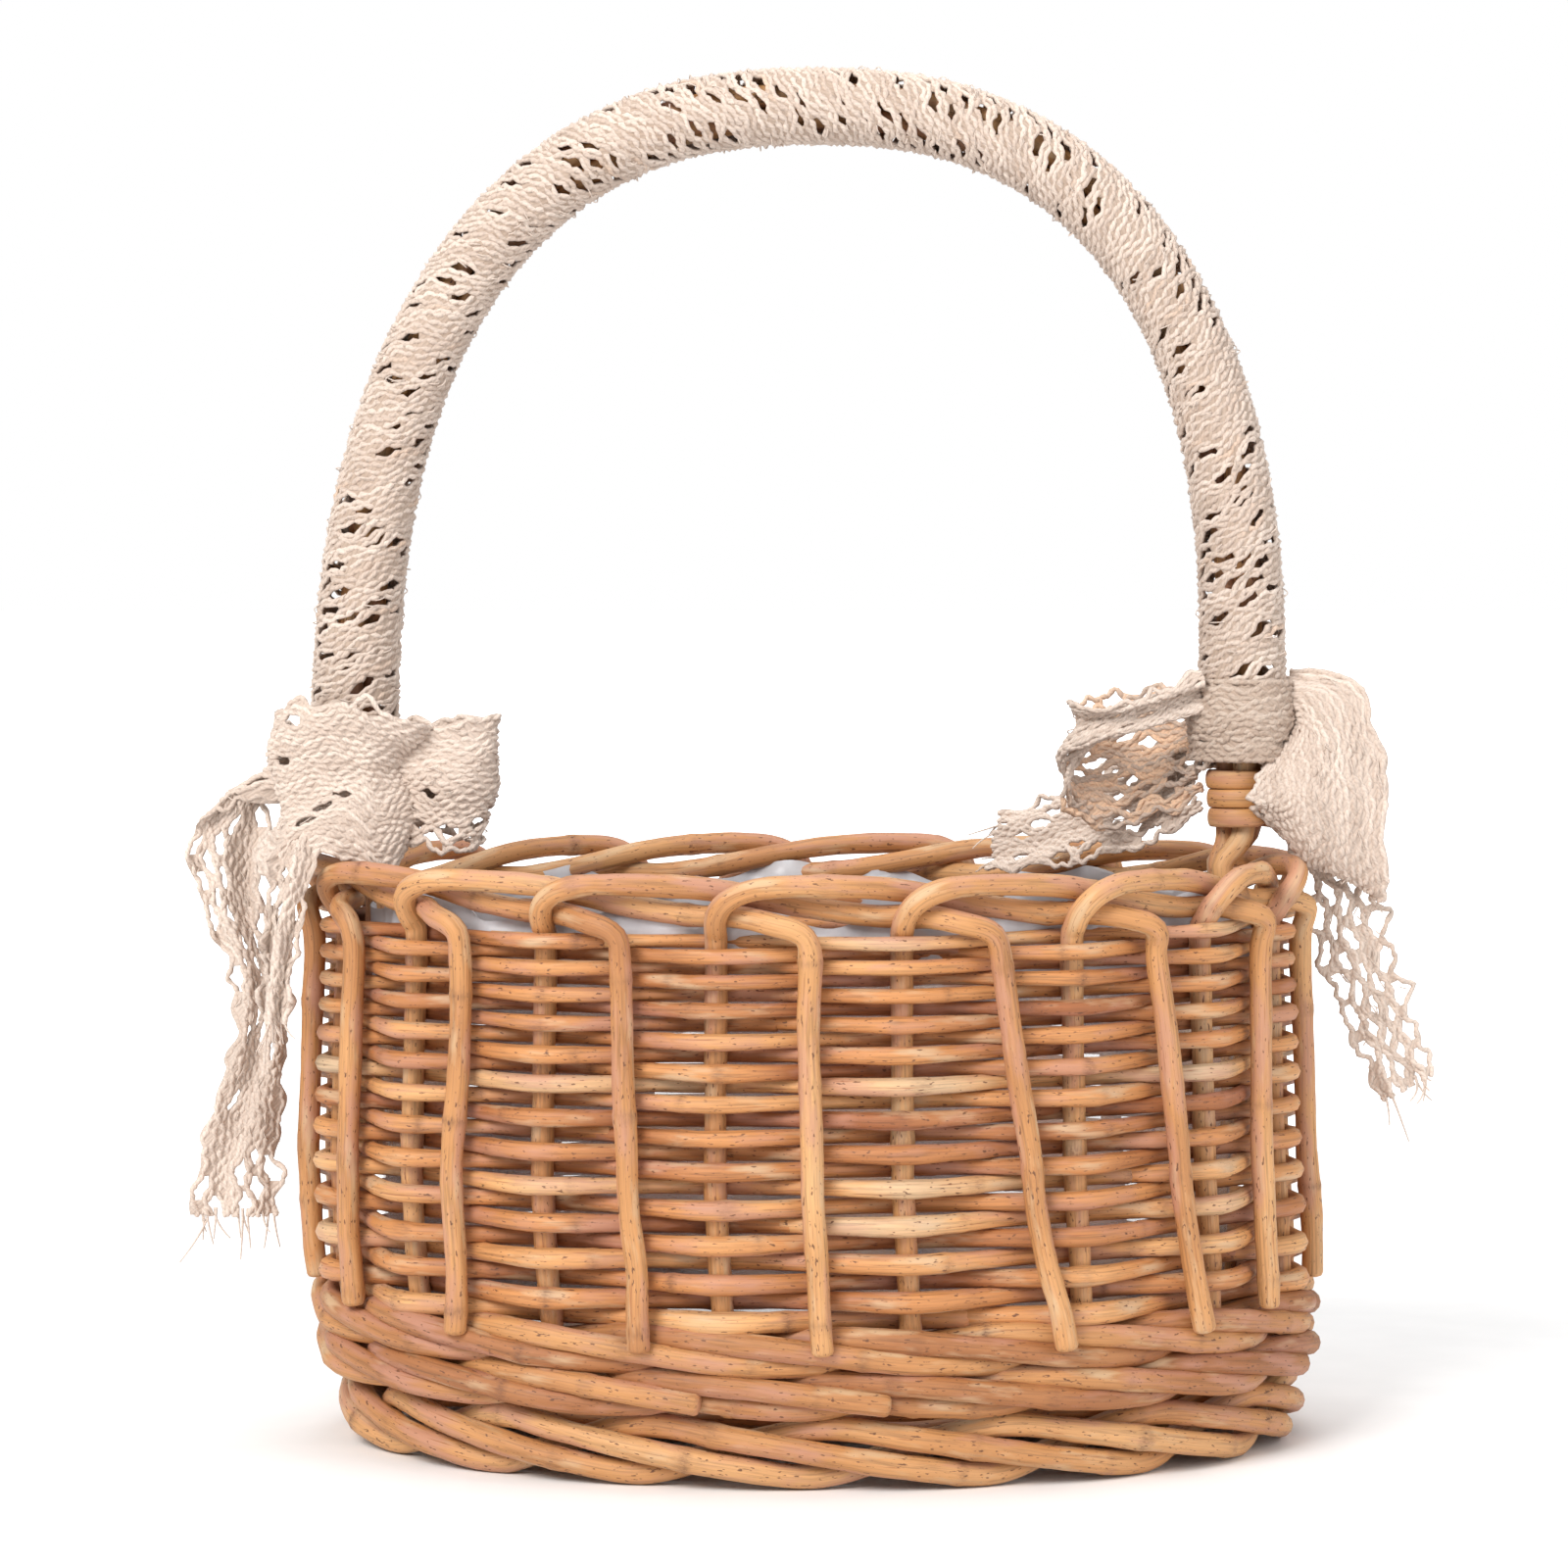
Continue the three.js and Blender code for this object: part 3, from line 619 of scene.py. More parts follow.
def foot_path(step, offset, rise):
    """Like wall_path, round the foot's own oval."""
    angle = step_angle(np.asarray(step, float))
    half = (FOOT_HIGH - FOOT_LOW)[0] / 2 - 0.3
    deep = half - WIDTH_MINUS_DEPTH
    point = np.stack([half * np.cos(angle), deep * np.sin(angle), np.zeros_like(angle)], -1)
    out = np.stack([deep * np.cos(angle), half * np.sin(angle), np.zeros_like(angle)], -1)
    out /= np.linalg.norm(out, axis=-1, keepdims=True)
    point += out * np.asarray(offset)[..., None]
    point[:, :2] += CENTRE[:2]
    point[:, 2] = FOOT_MIDDLE + np.asarray(rise)
    return point, out


FOOT_MIDDLE = 7.4


def add_foot():
    """The foot border: three rods that sink one after another to stand on the floor."""
    for rod, node in enumerate(("foot_ring", "foot_strand_1", "foot_strand_2")):
        rng = np.random.default_rng(600 + rod)
        strands = Strands()
        border_rod(strands, rng, FOOT_CYCLE, rod, foot_path, FOOT_STRAND_RADIUS, FOOT_TONES)
        settle(strands.build(node + "_willow", WILLOW), ROOT, "willow_rod", node)


def add_base():
    """Oval base: rounds of weaving over and under spokes, on three long sticks."""
    low, high = box_mm("base_panel")
    half, deep = (high - low)[:2] / 2 - 1.5
    middle = (low[2] + high[2]) / 2
    strands = Strands()
    rounds = 15
    for number in range(rounds + 1):
        rng = np.random.default_rng(700 + number)
        share = (number + 0.6) / rounds
        theta = np.linspace(0, 2 * np.pi, 150, endpoint=False)
        spine = half - deep
        x = (spine + deep * share) * np.cos(theta)
        y = deep * share * np.sin(theta)
        z = middle + 1.2 * np.cos(9 * theta + number * np.pi)
        path = np.stack([x + CENTRE[0], y + CENTRE[1], z], -1)
        path = np.concatenate([path, path[:1]])
        out = np.repeat(UP[None], len(path), 0)
        willow_rod(strands, path, out, 1.65, rng, 8, 1.1, rng.uniform(0.2, 0.7), 1.8)
    settle(strands.build("base_panel_willow", WEAVER), ROOT, "willow_base", "base_panel")
    for node in names_like("base_stick_"):
        rng = np.random.default_rng(760 + int(node[-1]))
        low, high = box_mm(node)
        x = np.linspace(low[0], high[0], 40)
        y = np.full_like(x, (low[1] + high[1]) / 2) + 0.8 * np.sin(x / 31)
        path = np.stack([x, y, np.full_like(x, (low[2] + high[2]) / 2)], -1)
        strands = Strands()
        willow_rod(strands, path, np.repeat(UP[None], len(x), 0), 2.0, rng, 10, 1.0, 0.45)
        settle(strands.build(node + "_willow", WILLOW), ROOT, "willow_base", node)


def grid_mesh(name, rows, material, closed):
    """A smooth sheet through a grid of points in mm; closed joins the last column to the first."""
    rows = np.asarray(rows)
    count, width = rows.shape[:2]
    index = np.arange(count * width).reshape(count, width)
    left = index if closed else index[:, :-1]
    right = np.roll(index, -1, 1) if closed else index[:, 1:]
    faces = np.stack([left[:-1], right[:-1], right[1:], left[1:]], -1).reshape(-1, 4)
    mesh = bpy.data.meshes.new(name)
    mesh.from_pydata((rows.reshape(-1, 3) * MM).tolist(), [], faces.tolist())
    mesh.polygons.foreach_set("use_smooth", [True] * len(mesh.polygons))
    mesh.materials.append(material)
    piece = bpy.data.objects.new(name, mesh)
    bpy.context.scene.collection.objects.link(piece)
    return piece


def add_liner():
    """Thin film tub, pressed into the weave, its edge left loose and creased at the rim."""
    low, high = box_mm("liner")
    half, deep = (high - low)[:2] / 2
    theta = np.linspace(0, 2 * np.pi, 360, endpoint=False)
    levels = [(0.02, 0), (0.3, 0), (0.6, 0), (0.9, 0), (0.98, 0.01), (1.0, 0.04)]
    levels += [(1.0 + 0.06 * share, share) for share in np.linspace(0.1, 1.0, 26)]
    rows = []
    for size, share in levels:
        crease = (np.sin(31 * theta + 5 * share) + 0.6 * np.sin(53 * theta - 8 * share + 1.7)
                  + 0.5 * np.sin(17 * theta + 11 * share))
        push = 0.8 * share * crease - 0.4 * (share > 0.95)
        top = 1.6 * share ** 6 * (np.sin(9 * theta) + 0.7 * np.sin(23 * theta + 2))
        x = (half * size + push) * np.cos(theta) + WALL_X
        y = (deep * size + push) * np.sin(theta) + WALL_Y
        rows.append(np.stack([x, y, low[2] + (high[2] - low[2]) * share + top + 1], -1))
    piece = grid_mesh("liner_film", rows, FILM, True)
    solid = piece.modifiers.new("film", "SOLIDIFY")
    solid.thickness = 0.25 * MM
    settle(piece, ROOT, "liner_film", "liner")


# ---- Handle ------------------------------------------------------------------------------
WRAP_LOW, WRAP_HIGH = box_mm("handle_lace_wrap")
WRAP_RADIUS = (WRAP_HIGH - WRAP_LOW)[1] / 2
FOOT_LEFT, FOOT_RIGHT = (np.add(*box_mm(f"handle_binding_{side}"))[0] / 2 for side in ("left", "right"))
SPAN = (FOOT_RIGHT - FOOT_LEFT) / 2
HANDLE_X = (FOOT_LEFT + FOOT_RIGHT) / 2
LEAN = 3.5                      # how far the top of the arch leans to the right
TUCKED_X = 89.4                 # where the parted rods run down inside the wall
RIGHT_SLANT = 3.5               # how far the rods swing inwards as they pass the right end's border
APEX = WRAP_HIGH[2] - WRAP_RADIUS
SPRING = WRAP_LOW[2] + 11
SQUARENESS = 2.4


def handle_line(foot, count=400):
    """Centre line of the handle from one foot height over the arch to the other."""
    angle = np.linspace(np.pi, 0, count)
    power = 2 / SQUARENESS
    x = SPAN * np.sign(np.cos(angle)) * np.abs(np.cos(angle)) ** power
    z = SPRING + (APEX - SPRING) * np.abs(np.sin(angle)) ** power
    leg = np.linspace(foot, SPRING, 40, endpoint=False)
    x = np.concatenate([np.full(40, -SPAN), x, np.full(40, SPAN)])
    z = np.concatenate([leg, z, leg[::-1]])
    x += LEAN * np.clip((z - SPRING) / (APEX - SPRING), 0, 1)
    line = np.stack([x + HANDLE_X, np.full_like(x, WALL_Y), z], -1)
    line, _, along = even_spacing(line, line, 1.0)
    tangent = np.gradient(line, axis=0)
    tangent /= np.linalg.norm(tangent, axis=1, keepdims=True)
    outward = np.cross(tangent, [0, 1, 0])
    return line, outward, along


def add_handle_rods():
    foot = box_mm("handle_rod_1")[0][2]
    line, outward, along = handle_line(foot)
    z = line[:, 2]
    splay = np.clip((127 - z) / 9, 0, 1)[:, None]
    splay = splay * splay * (3 - 2 * splay)
    side = np.array([0, 1.0, 0])
    for rod in range(3):
        rng = np.random.default_rng(800 + rod)
        turn = rod / 3 * 2 * np.pi + 0.35 * np.sin(along / 60)
        bundled = -outward * np.cos(turn)[:, None] * 2.9 + side * np.sin(turn)[:, None] * 2.9
        inwards = RIGHT_SLANT * np.exp(-((z - 119) / 6) ** 2) * (line[:, 0] > WALL_X)
        tuck = np.abs(line[:, :1] - WALL_X) - TUCKED_X + inwards[:, None]
        spread = -outward * tuck + side * 5.4 * (0, 1, -1)[rod]
        path = line + bundled * (1 - splay) + spread * splay
        strands = Strands()
        willow_rod(strands, path, np.repeat(side[None], len(path), 0), 2.4, rng, 10, 1.0, rng.uniform(0.3, 0.6))
        node = f"handle_rod_{rod + 1}"
        settle(strands.build(node + "_willow", WILLOW), ROOT, "willow_rod", node)


def add_bindings():
    """Flat split skein wound three times round the rods where they enter the basket."""
    for node in ("handle_binding_left", "handle_binding_right"):
        low, high = box_mm(node)
        centre = (low + high) / 2
        radius = (high - low)[0] / 2
        strands = Strands()
        rng = np.random.default_rng(850)
        turns = 3
        pitch = (high[2] - low[2]) / turns
        angle = np.arange(0, turns * 2 * np.pi + 1.0, 0.12)
        rise = np.interp(angle % (2 * np.pi), (0, 5.2, 2 * np.pi), (0, 0.15, 1.0))
        z = low[2] + pitch * (np.floor(angle / (2 * np.pi)) + rise * 0.98) + pitch * 0.5
        z = np.minimum(z, high[2] - pitch * 0.4)
        out = np.stack([np.cos(angle), np.sin(angle), np.zeros_like(angle)], -1)
        size = radius - 1.0 + 0.25 * np.sin(angle * 1.7)
        path = np.stack([centre[0] + size * out[:, 0], centre[1] + size * 1.04 * out[:, 1], z], -1)
        path, out, _ = even_spacing(path, out, 0.8)
        strands.sweep(path, out, 0.72, 14, pitch * 0.5 / 0.72 * 0.98, 0.55, None, rng.uniform(0, 1))
        settle(strands.build(node + "_skein", SKEIN), ROOT, "willow_skein", node)


# ---- Lace --------------------------------------------------------------------------------
CORD_SPACING = 1.2              # between neighbouring cords of the crochet
CORD_RADIUS = 0.54
HOLE_LENGTH = 6.2
HOLE_PITCH = 7.4
HOLE_HALF_WIDTH = 0.98
SHEET_CELL = 0.62
SHEET_HALF_THICKNESS = 0.17


class Crochet:
    """The stitch pattern of one ribbon. Cords run along it side by side; neighbouring pairs
    part round lens-shaped holes, and a thin ground of fine stitches joins them."""

    def __init__(self, length, width, seed, openness, scallop=1.3, slit=1.0):
        self.length, self.width, self.openness, self.scallop = length, width, openness, scallop
        self.slit = slit
        self.rng = np.random.default_rng(seed)
        self.shaded, self.tint = 0.0, 0.0
        self.cords = max(4, 2 * int(width / CORD_SPACING / 2))
        self.across = (np.arange(self.cords) - (self.cords - 1) / 2) * width / self.cords
        self.holes = self._choose_holes()

    def _choose_holes(self):
        """Rows of (cord, middle, length, half width) for the holes that are open."""
        holes = []
        for pair in range(self.cords // 2):
            first = HOLE_PITCH * (0.25 if pair % 2 else 0.75)
            for middle in np.arange(first, self.length, HOLE_PITCH):
                cord = 2 * pair
                place = self.across[cord] / self.width * 2
                if self.rng.uniform() > self.openness(middle, place):
                    continue
                size = self.rng.uniform(0.7, 1.1)
                middle += self.rng.uniform(-0.5, 0.5)
                holes.append((cord, middle, HOLE_LENGTH * size, HOLE_HALF_WIDTH * size * self.slit))
        return holes

    def cord_line(self, cord, along):
        """Sideways place of a cord, with its fine wave and its bows round holes."""
        v = np.full_like(along, self.across[cord])
        phase = np.pi * (cord % 2) + self.rng.uniform(-0.4, 0.4)
        v += 0.26 * np.sin(2 * np.pi * along / 3.4 + phase) + 0.14 * slow_wave(along, 17, self.rng)
        v += self.wander(along, self.across[cord])
        for first, middle, length, half in self.holes:
            if first in (cord, cord - 1):
                side = -1 if first == cord else 1
                near = np.abs(along - middle) < length / 2
                v[near] += side * half * np.cos(np.pi * (along[near] - middle) / length) ** 1.3
        return self.spread(v, along)

    def wander(self, u, v):
        """Sideways drift shared by neighbouring cords, so that they snake along together."""
        return 0.5 * np.sin(2 * np.pi * u / 14.6 + 0.33 * v) + 0.3 * np.sin(2 * np.pi * u / 9.1 - 0.5 * v)

    def spread(self, v, along):
        """Pushes the outer cords out into the scallops of the edge."""
        share = np.abs(v) / (self.width / 2)
        wave = np.abs(np.sin(np.pi * along / 8.2 + np.sign(v)))
        return v + np.sign(v) * self.scallop * wave * np.clip(share - 0.72, 0, 1) / 0.28

    def in_hole(self, u, v):
        """Which places of the ground lie in a hole, up to the middles of its two cords."""
        inside = np.zeros(u.shape, bool)
        for first, middle, length, half in self.holes:
            centre = (self.across[first] + self.across[first + 1]) / 2
            near = np.abs(u - middle) < length / 2
            reach = half * np.abs(np.cos(np.pi * (u - middle) / length)) ** 1.3 + CORD_SPACING / 2
            open_part = np.abs(u - middle) < length * 0.43
            inside |= near & open_part & (np.abs(v - centre) < reach)
        return inside

    def lay_cords(self, strands, surface, step=0.62, sides=5):
        along = np.linspace(0, self.length, max(8, int(self.length / step)))
        for cord in range(self.cords):
            v = self.cord_line(cord, along)
            lift = 0.26 * np.sin(2 * np.pi * along / 2.9 + 2.4 * cord) + 0.12 * slow_wave(along, 7, self.rng)
            knobs = 1 + 0.2 * np.sin(2 * np.pi * along / 1.9 + 1.9 * cord) + 0.12 * slow_wave(along, 5, self.rng)
            point, normal = surface(along, v, lift)
            tone = np.clip(0.5 + 0.35 * slow_wave(along, 60, self.rng), 0, 1) + self.tint
            # Painted shade: over the first shaded mm, the inside of a loop, the cords drop to a warm tan.
            tone -= 0.7 * (along < self.shaded)
            strands.sweep(point, normal, CORD_RADIUS * knobs, sides, 1.05, tone, None, self.rng.uniform(0, 1))

    def lay_ground(self, strands, surface):
        """The fine stitches between the cords: a thin closed sheet, cut out at the holes."""
        u = np.linspace(0.3, self.length - 0.3, max(4, int(self.length / SHEET_CELL)))
        v = np.linspace(-self.width / 2, self.width / 2, max(4, int(self.width / SHEET_CELL)))
        grid_u, grid_v = np.meshgrid(u, v, indexing="ij")
        centre_u = (grid_u[1:, 1:] + grid_u[:-1, :-1]) / 2
        centre_v = (grid_v[1:, 1:] + grid_v[:-1, :-1]) / 2
        keep = ~self.in_hole(centre_u, centre_v)
        flat_u, flat_v = grid_u.ravel(), grid_v.ravel()
        flat_v = self.spread(flat_v + self.wander(flat_u, flat_v), flat_u)
        lift = 0.16 * np.sin(2 * np.pi * flat_u / 1.25) * np.sin(2 * np.pi * flat_v / 1.36)
        point, normal = surface(flat_u, flat_v, lift)
        # Painted shade: the ground is set darker than the cords, and darker still over the first shaded mm of a loop.
        tone = 0.25 - 0.6 * (flat_u < self.shaded)
        strands.add_sheet(point, normal, grid_u.shape, keep, SHEET_HALF_THICKNESS, flat_u, flat_v, tone)

    def lay_fringe(self, strands, surface, share=1.0):
        """Loose thread ends beyond the cut end."""
        for _ in range(int(self.cords * 1.1 * share)):
            v = self.rng.uniform(-0.48, 0.48) * self.width
            u = np.array([self.length - 3.5, self.length - 1.5])
            ends, normal = surface(u, np.array([v, v]), np.zeros(2))
            ahead = ends[1] - ends[0]
            ahead /= np.linalg.norm(ahead)
            reach = self.rng.uniform(3.5, 8.5)
            bend = self.rng.normal(0, 0.3, 3)
            t = np.linspace(0, 1, 9)[:, None]
            path = ends[1] + ahead * reach * t + bend * reach * t ** 2 - UP * 1.2 * t ** 2
            strands.sweep(path, np.repeat(normal[:1], 9, 0), np.linspace(0.3, 0.13, 9), 4, 1.0, 0.7, None, 0.3)

    def lay_fuzz(self, strands, surface, per_mm):
        """Short loops of loose fibre that stand off the surface."""
        for _ in range(int(self.length * per_mm)):
            u0 = self.rng.uniform(1, self.length - 4)
            v0 = self.rng.uniform(-0.5, 0.5) * self.width
            t = np.linspace(0, 1, 7)
            u = u0 + self.rng.uniform(1.0, 3.0) * t
            v = v0 + self.rng.uniform(-1.6, 1.6) * t
            lift = 0.4 + self.rng.uniform(0.5, 1.1) * np.sin(np.pi * t)
            point, normal = surface(u, v, lift)
            strands.sweep(point, normal, 0.15, 3, 1.0, 0.8, None, 0.3)


def wound_surface(line, outward, radius, pitch, start=0.0, hand=1):
    """A ribbon wound as a helix round a centre line: along the ribbon, across it, out of it. A
    hand of -1 winds it the other way round."""
    gaps = np.linalg.norm(np.diff(line, axis=0), axis=1)
    along = np.concatenate([[0], np.cumsum(gaps)])
    middle_radius = float(np.mean(radius))
    slant = math.atan2(pitch, hand * 2 * np.pi * middle_radius)
    side = np.array([0, 1.0, 0])

    def surface(u, v, lift):
        turn = (u * math.cos(slant) - v * math.sin(slant)) / middle_radius + start
        place = np.clip(u * math.sin(slant) + v * math.cos(slant), 0, along[-1])
        centre = np.stack([np.interp(place, along, line[:, i]) for i in range(3)], -1)
        out = np.stack([np.interp(place, along, outward[:, i]) for i in range(3)], -1)
        out /= np.linalg.norm(out, axis=1, keepdims=True)
        normal = out * np.cos(turn)[:, None] + side * np.sin(turn)[:, None]
        size = np.interp(place, np.linspace(0, along[-1], len(radius)), radius) + lift
        return centre + normal * size[:, None], normal
    return surface, slant, along[-1]


def open_hem(u, v):
    """Dense cloth with a row of holes along its lower edge."""
    return 0.95 if v < -0.6 else 0.05


def patchy(low, high, seed, size=9.0):
    """An openness that changes from patch to patch of the ribbon, between low and high."""
    rng = np.random.default_rng(seed)
    waves = rng.uniform(0, 6.28, 3)

    def openness(u, v):
        wave = math.sin(u / size + waves[0]) + math.sin(u / (size * 0.43) + 2.1 * v + waves[1])
        wave += 0.8 * math.sin(3.3 * v + u / (size * 2.3) + waves[2])
        return low + (high - low) * min(1, max(0, wave))
    return openness


def add_handle_lace():
    """Lace ribbon wound from foot to foot, each turn lapping the one before."""
    line, outward, _ = handle_line(WRAP_LOW[2])
    foot, top = WRAP_RADIUS + 0.7, WRAP_RADIUS - 0.65
    pitch = 25.0
    surface, slant, reach = wound_surface(line, outward, [foot, top, top - 0.1, top, foot], pitch, 1.0, -1)
    length = (reach + 4) / math.sin(slant)
    crochet = Crochet(length, 26.6 * abs(math.cos(slant)), 900, patchy(0.36, 0.8, 31, 8.0), 0.4, 0.62)
    crochet.tint = -0.15
    cords, ground = Strands(), Strands()
    crochet.lay_cords(cords, surface, 0.98)
    crochet.lay_fuzz(cords, surface, 0.35)
    crochet.lay_ground(ground, surface)
    settle(cords.build("handle_lace_cords", LACE), ROOT, "lace", "handle_lace_wrap")
    # The handle's ground sits in painted shade: the darker lace copy.
    settle(ground.build("handle_lace_ground", LACE_PAINTED_SHADE), ROOT, "lace")


def add_knot(node, name, seed, material=LACE):
    """Ribbon pulled tight round the handle, in lapping turns."""
    low, high = box_mm(node)
    centre = (low + high) / 2
    levels = np.linspace(low[2], high[2], 30)
    line = np.stack([np.full(30, centre[0]), np.full(30, centre[1]), levels], -1)
    outward = np.repeat(np.array([[1.0, 0, 0]]), 30, 0)
    radius = (high - low)[0] / 2 - 0.9
    strands = Strands()
    for number, (bulge, start, pitch) in enumerate(((0.2, 0.4, 6.0), (-0.8, 2.6, -5.0))):
        surface, slant, reach = wound_surface(line, outward, [radius + bulge - 0.6, radius + bulge + 0.4,
                                                              radius + bulge - 0.4], pitch, start)
        width = 10.5
        def shifted(u, v, lift, surface=surface, slant=slant, reach=reach):
            u = np.asarray(u)
            if slant < 0:
                u = u - reach / math.sin(-slant)
            return surface(u, v, lift)
        crochet = Crochet((reach - 1) / math.sin(abs(slant)), width, seed + number, patchy(0.02, 0.3, seed), 0.4)
        crochet.lay_cords(strands, shifted)
        crochet.lay_ground(strands, shifted)
    settle(strands.build(name, material), ROOT, "lace", node)


class Ribbon:
    """A lace ribbon through stations. A station is its middle and the vector from its middle to
    its upper edge, both in mm from the knot; puff rounds it out, ripple waves it."""

    def __init__(self, origin, stations, puff=1.0, ripple=0.8):
        rows = catmull_rom(np.array([[*middle, *edge] for middle, edge in stations], float), 24)
        rows[:, :3] += origin
        middle, rows, self.along = even_spacing(rows[:, :3], rows, 0.5)
        self.middle, self.edge = rows[:, :3], rows[:, 3:]
        self.length = self.along[-1]
        self.width = 2 * np.linalg.norm(self.edge, axis=1).max()
        self.puff, self.ripple = puff, ripple
        ahead = np.gradient(self.middle, axis=0)
        normal = np.cross(ahead, self.edge)
        normal /= np.linalg.norm(normal, axis=1, keepdims=True) + 1e-9
        for _ in range(3):
            padded = np.concatenate([normal[:1]] * 3 + [normal] + [normal[-1:]] * 3)
            normal = sum(padded[i:i + len(normal)] for i in range(7)) / 7
        self.normal = normal / np.linalg.norm(normal, axis=1, keepdims=True)

    def surface(self, u, v, lift):
        u = np.clip(u, 0, self.length)
        def at(rows):
            return np.stack([np.interp(u, self.along, rows[:, i]) for i in range(3)], -1)
        middle, edge, normal = at(self.middle), at(self.edge), at(self.normal)
        share = v / (self.width / 2)
        narrow = 1 - np.linalg.norm(edge, axis=1) / (self.width / 2)
        out = self.puff * (1 - share ** 2) + lift
        out += (self.ripple + 3.0 * narrow) * np.sin(share * 4.6 + u / 15) * (0.4 + 0.6 * np.abs(share))
        out += 0.35 * self.ripple * np.sin(u / 3.7 + 2 * share) * np.sin(share * 7 - u / 9)
        return middle + edge * share[:, None] + normal * out[:, None], normal


def add_ribbon(name, origin, stations, seed, node, openness, body=None, hinge=None, bend=None, fringe=0.0,
               shaded=0.0, **look):
    """One loop or tail. Given a body, a tail is left in place unattached, else the piece goes on the root body.
    Over its first shaded mm a loop is in painted shade, down to a warm tan, where its inside shows."""
    ribbon = Ribbon(np.asarray(origin, float), stations, **look)
    if not callable(openness):
        openness = patchy(*openness, seed)
    crochet = Crochet(ribbon.length, ribbon.width, seed, openness)
    crochet.shaded = shaded
    strands = Strands()
    crochet.lay_cords(strands, ribbon.surface)
    crochet.lay_ground(strands, ribbon.surface)
    crochet.lay_fuzz(strands, ribbon.surface, 0.5)
    if fringe:
        crochet.lay_fringe(strands, ribbon.surface, fringe)
    piece = strands.build(name, LACE)
    if body:
        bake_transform(piece)
    else:
        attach(piece, ROOT)
    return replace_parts(piece, node)


def joint_place(child):
    joint = next(j for j in frame["joints"] if j["child"] == child)
    return np.array(joint["pos_m"]) / MM


def knot_place(node):
    low, high = box_mm(node)
    return (low + high) / 2


def add_left_bow():
    knot = knot_place("left_bow_knot")
    add_knot("left_bow_knot", "left_bow_knot_lace", 910)
    front = [((16, -10, -2), (0, 0, 11)), ((13, -17, -2.5), (0, -2, 12.5)), ((6.5, -21.5, -3.5), (-1, -1, 17.5)),
             ((1, -22, -1), (0, 0, 15)), ((-6, -21.5, -1), (0, 1, 15)), ((-13.5, -19, -2.5), (1, 1, 16.5)),
             ((-17, -13, -3), (0, 0, 14)), ((-13, -9, -3), (0, 0, 12)), ((-7, -9, -2), (0, 0, 8))]
    add_ribbon("left_bow_front_loop_lace", knot, front, 920, "left_bow_front_loop", (0.03, 0.22), puff=2.4, ripple=1.3)
    side = [((6, -10, -1), (0, 0, 9)), ((14, -15, -2), (-1, 0, 12)), ((22, -17, -2.5), (1, 0, 12.5)),
            ((28.5, -14, -1.5), (1.5, 0, 12.5)), ((28, -9, -1), (1, 0, 12)), ((19, -8, -1), (0, 0, 11)),
            ((8, -8, -1), (0, 0, 8))]
    add_ribbon("left_bow_side_loop_lace", knot, side, 921, "left_bow_side_loop", open_hem, puff=0.8)
    hinge = joint_place("left_long_tail")
    long_tail = [((-9, -7, 1), (1, 0, 6)), ((-14, -6, 1.5), (2, 1, 7)), ((-21, -4, -2), (6, 1, 4.5)),
                 ((-26.5, -3, -14), (7, 1, 1)), ((-25, -3, -29), (5, 1, 1)), ((-20, -3, -43), (4.4, 1.5, 0)),
                 ((-20, -3, -57), (5, 1, 0)), ((-22.5, -3, -70), (6.5, 0, 0)), ((-24.5, -3, -82), (7.5, 0, 0)),
                 ((-25, -3, -93), (8.3, 0, 0))]
    add_ribbon("left_bow_long_tail_lace", knot, long_tail, 922, "left_bow_long_tail", (0.2, 0.75), "left_long_tail",
               hinge, hinge + [-14, 0, -16], 1.0, puff=0.3, ripple=1.2)
    hinge = joint_place("left_short_tail")
    short_tail = [((-6, -16, -8), (5, 0, 1)), ((-10, -24, -16), (4.3, 0, 1)), ((-11.5, -27, -26), (3.4, 0, 0)),
                  ((-13, -27.5, -38), (2.8, 0, 0)), ((-14, -27.5, -50), (2.6, 0, 0))]
    add_ribbon("left_bow_short_tail_lace", knot, short_tail, 923, "left_bow_short_tail", (0.2, 0.7), "left_short_tail",
               hinge, hinge + [0, 0, -9], 1.0, puff=0.3, ripple=0.8)


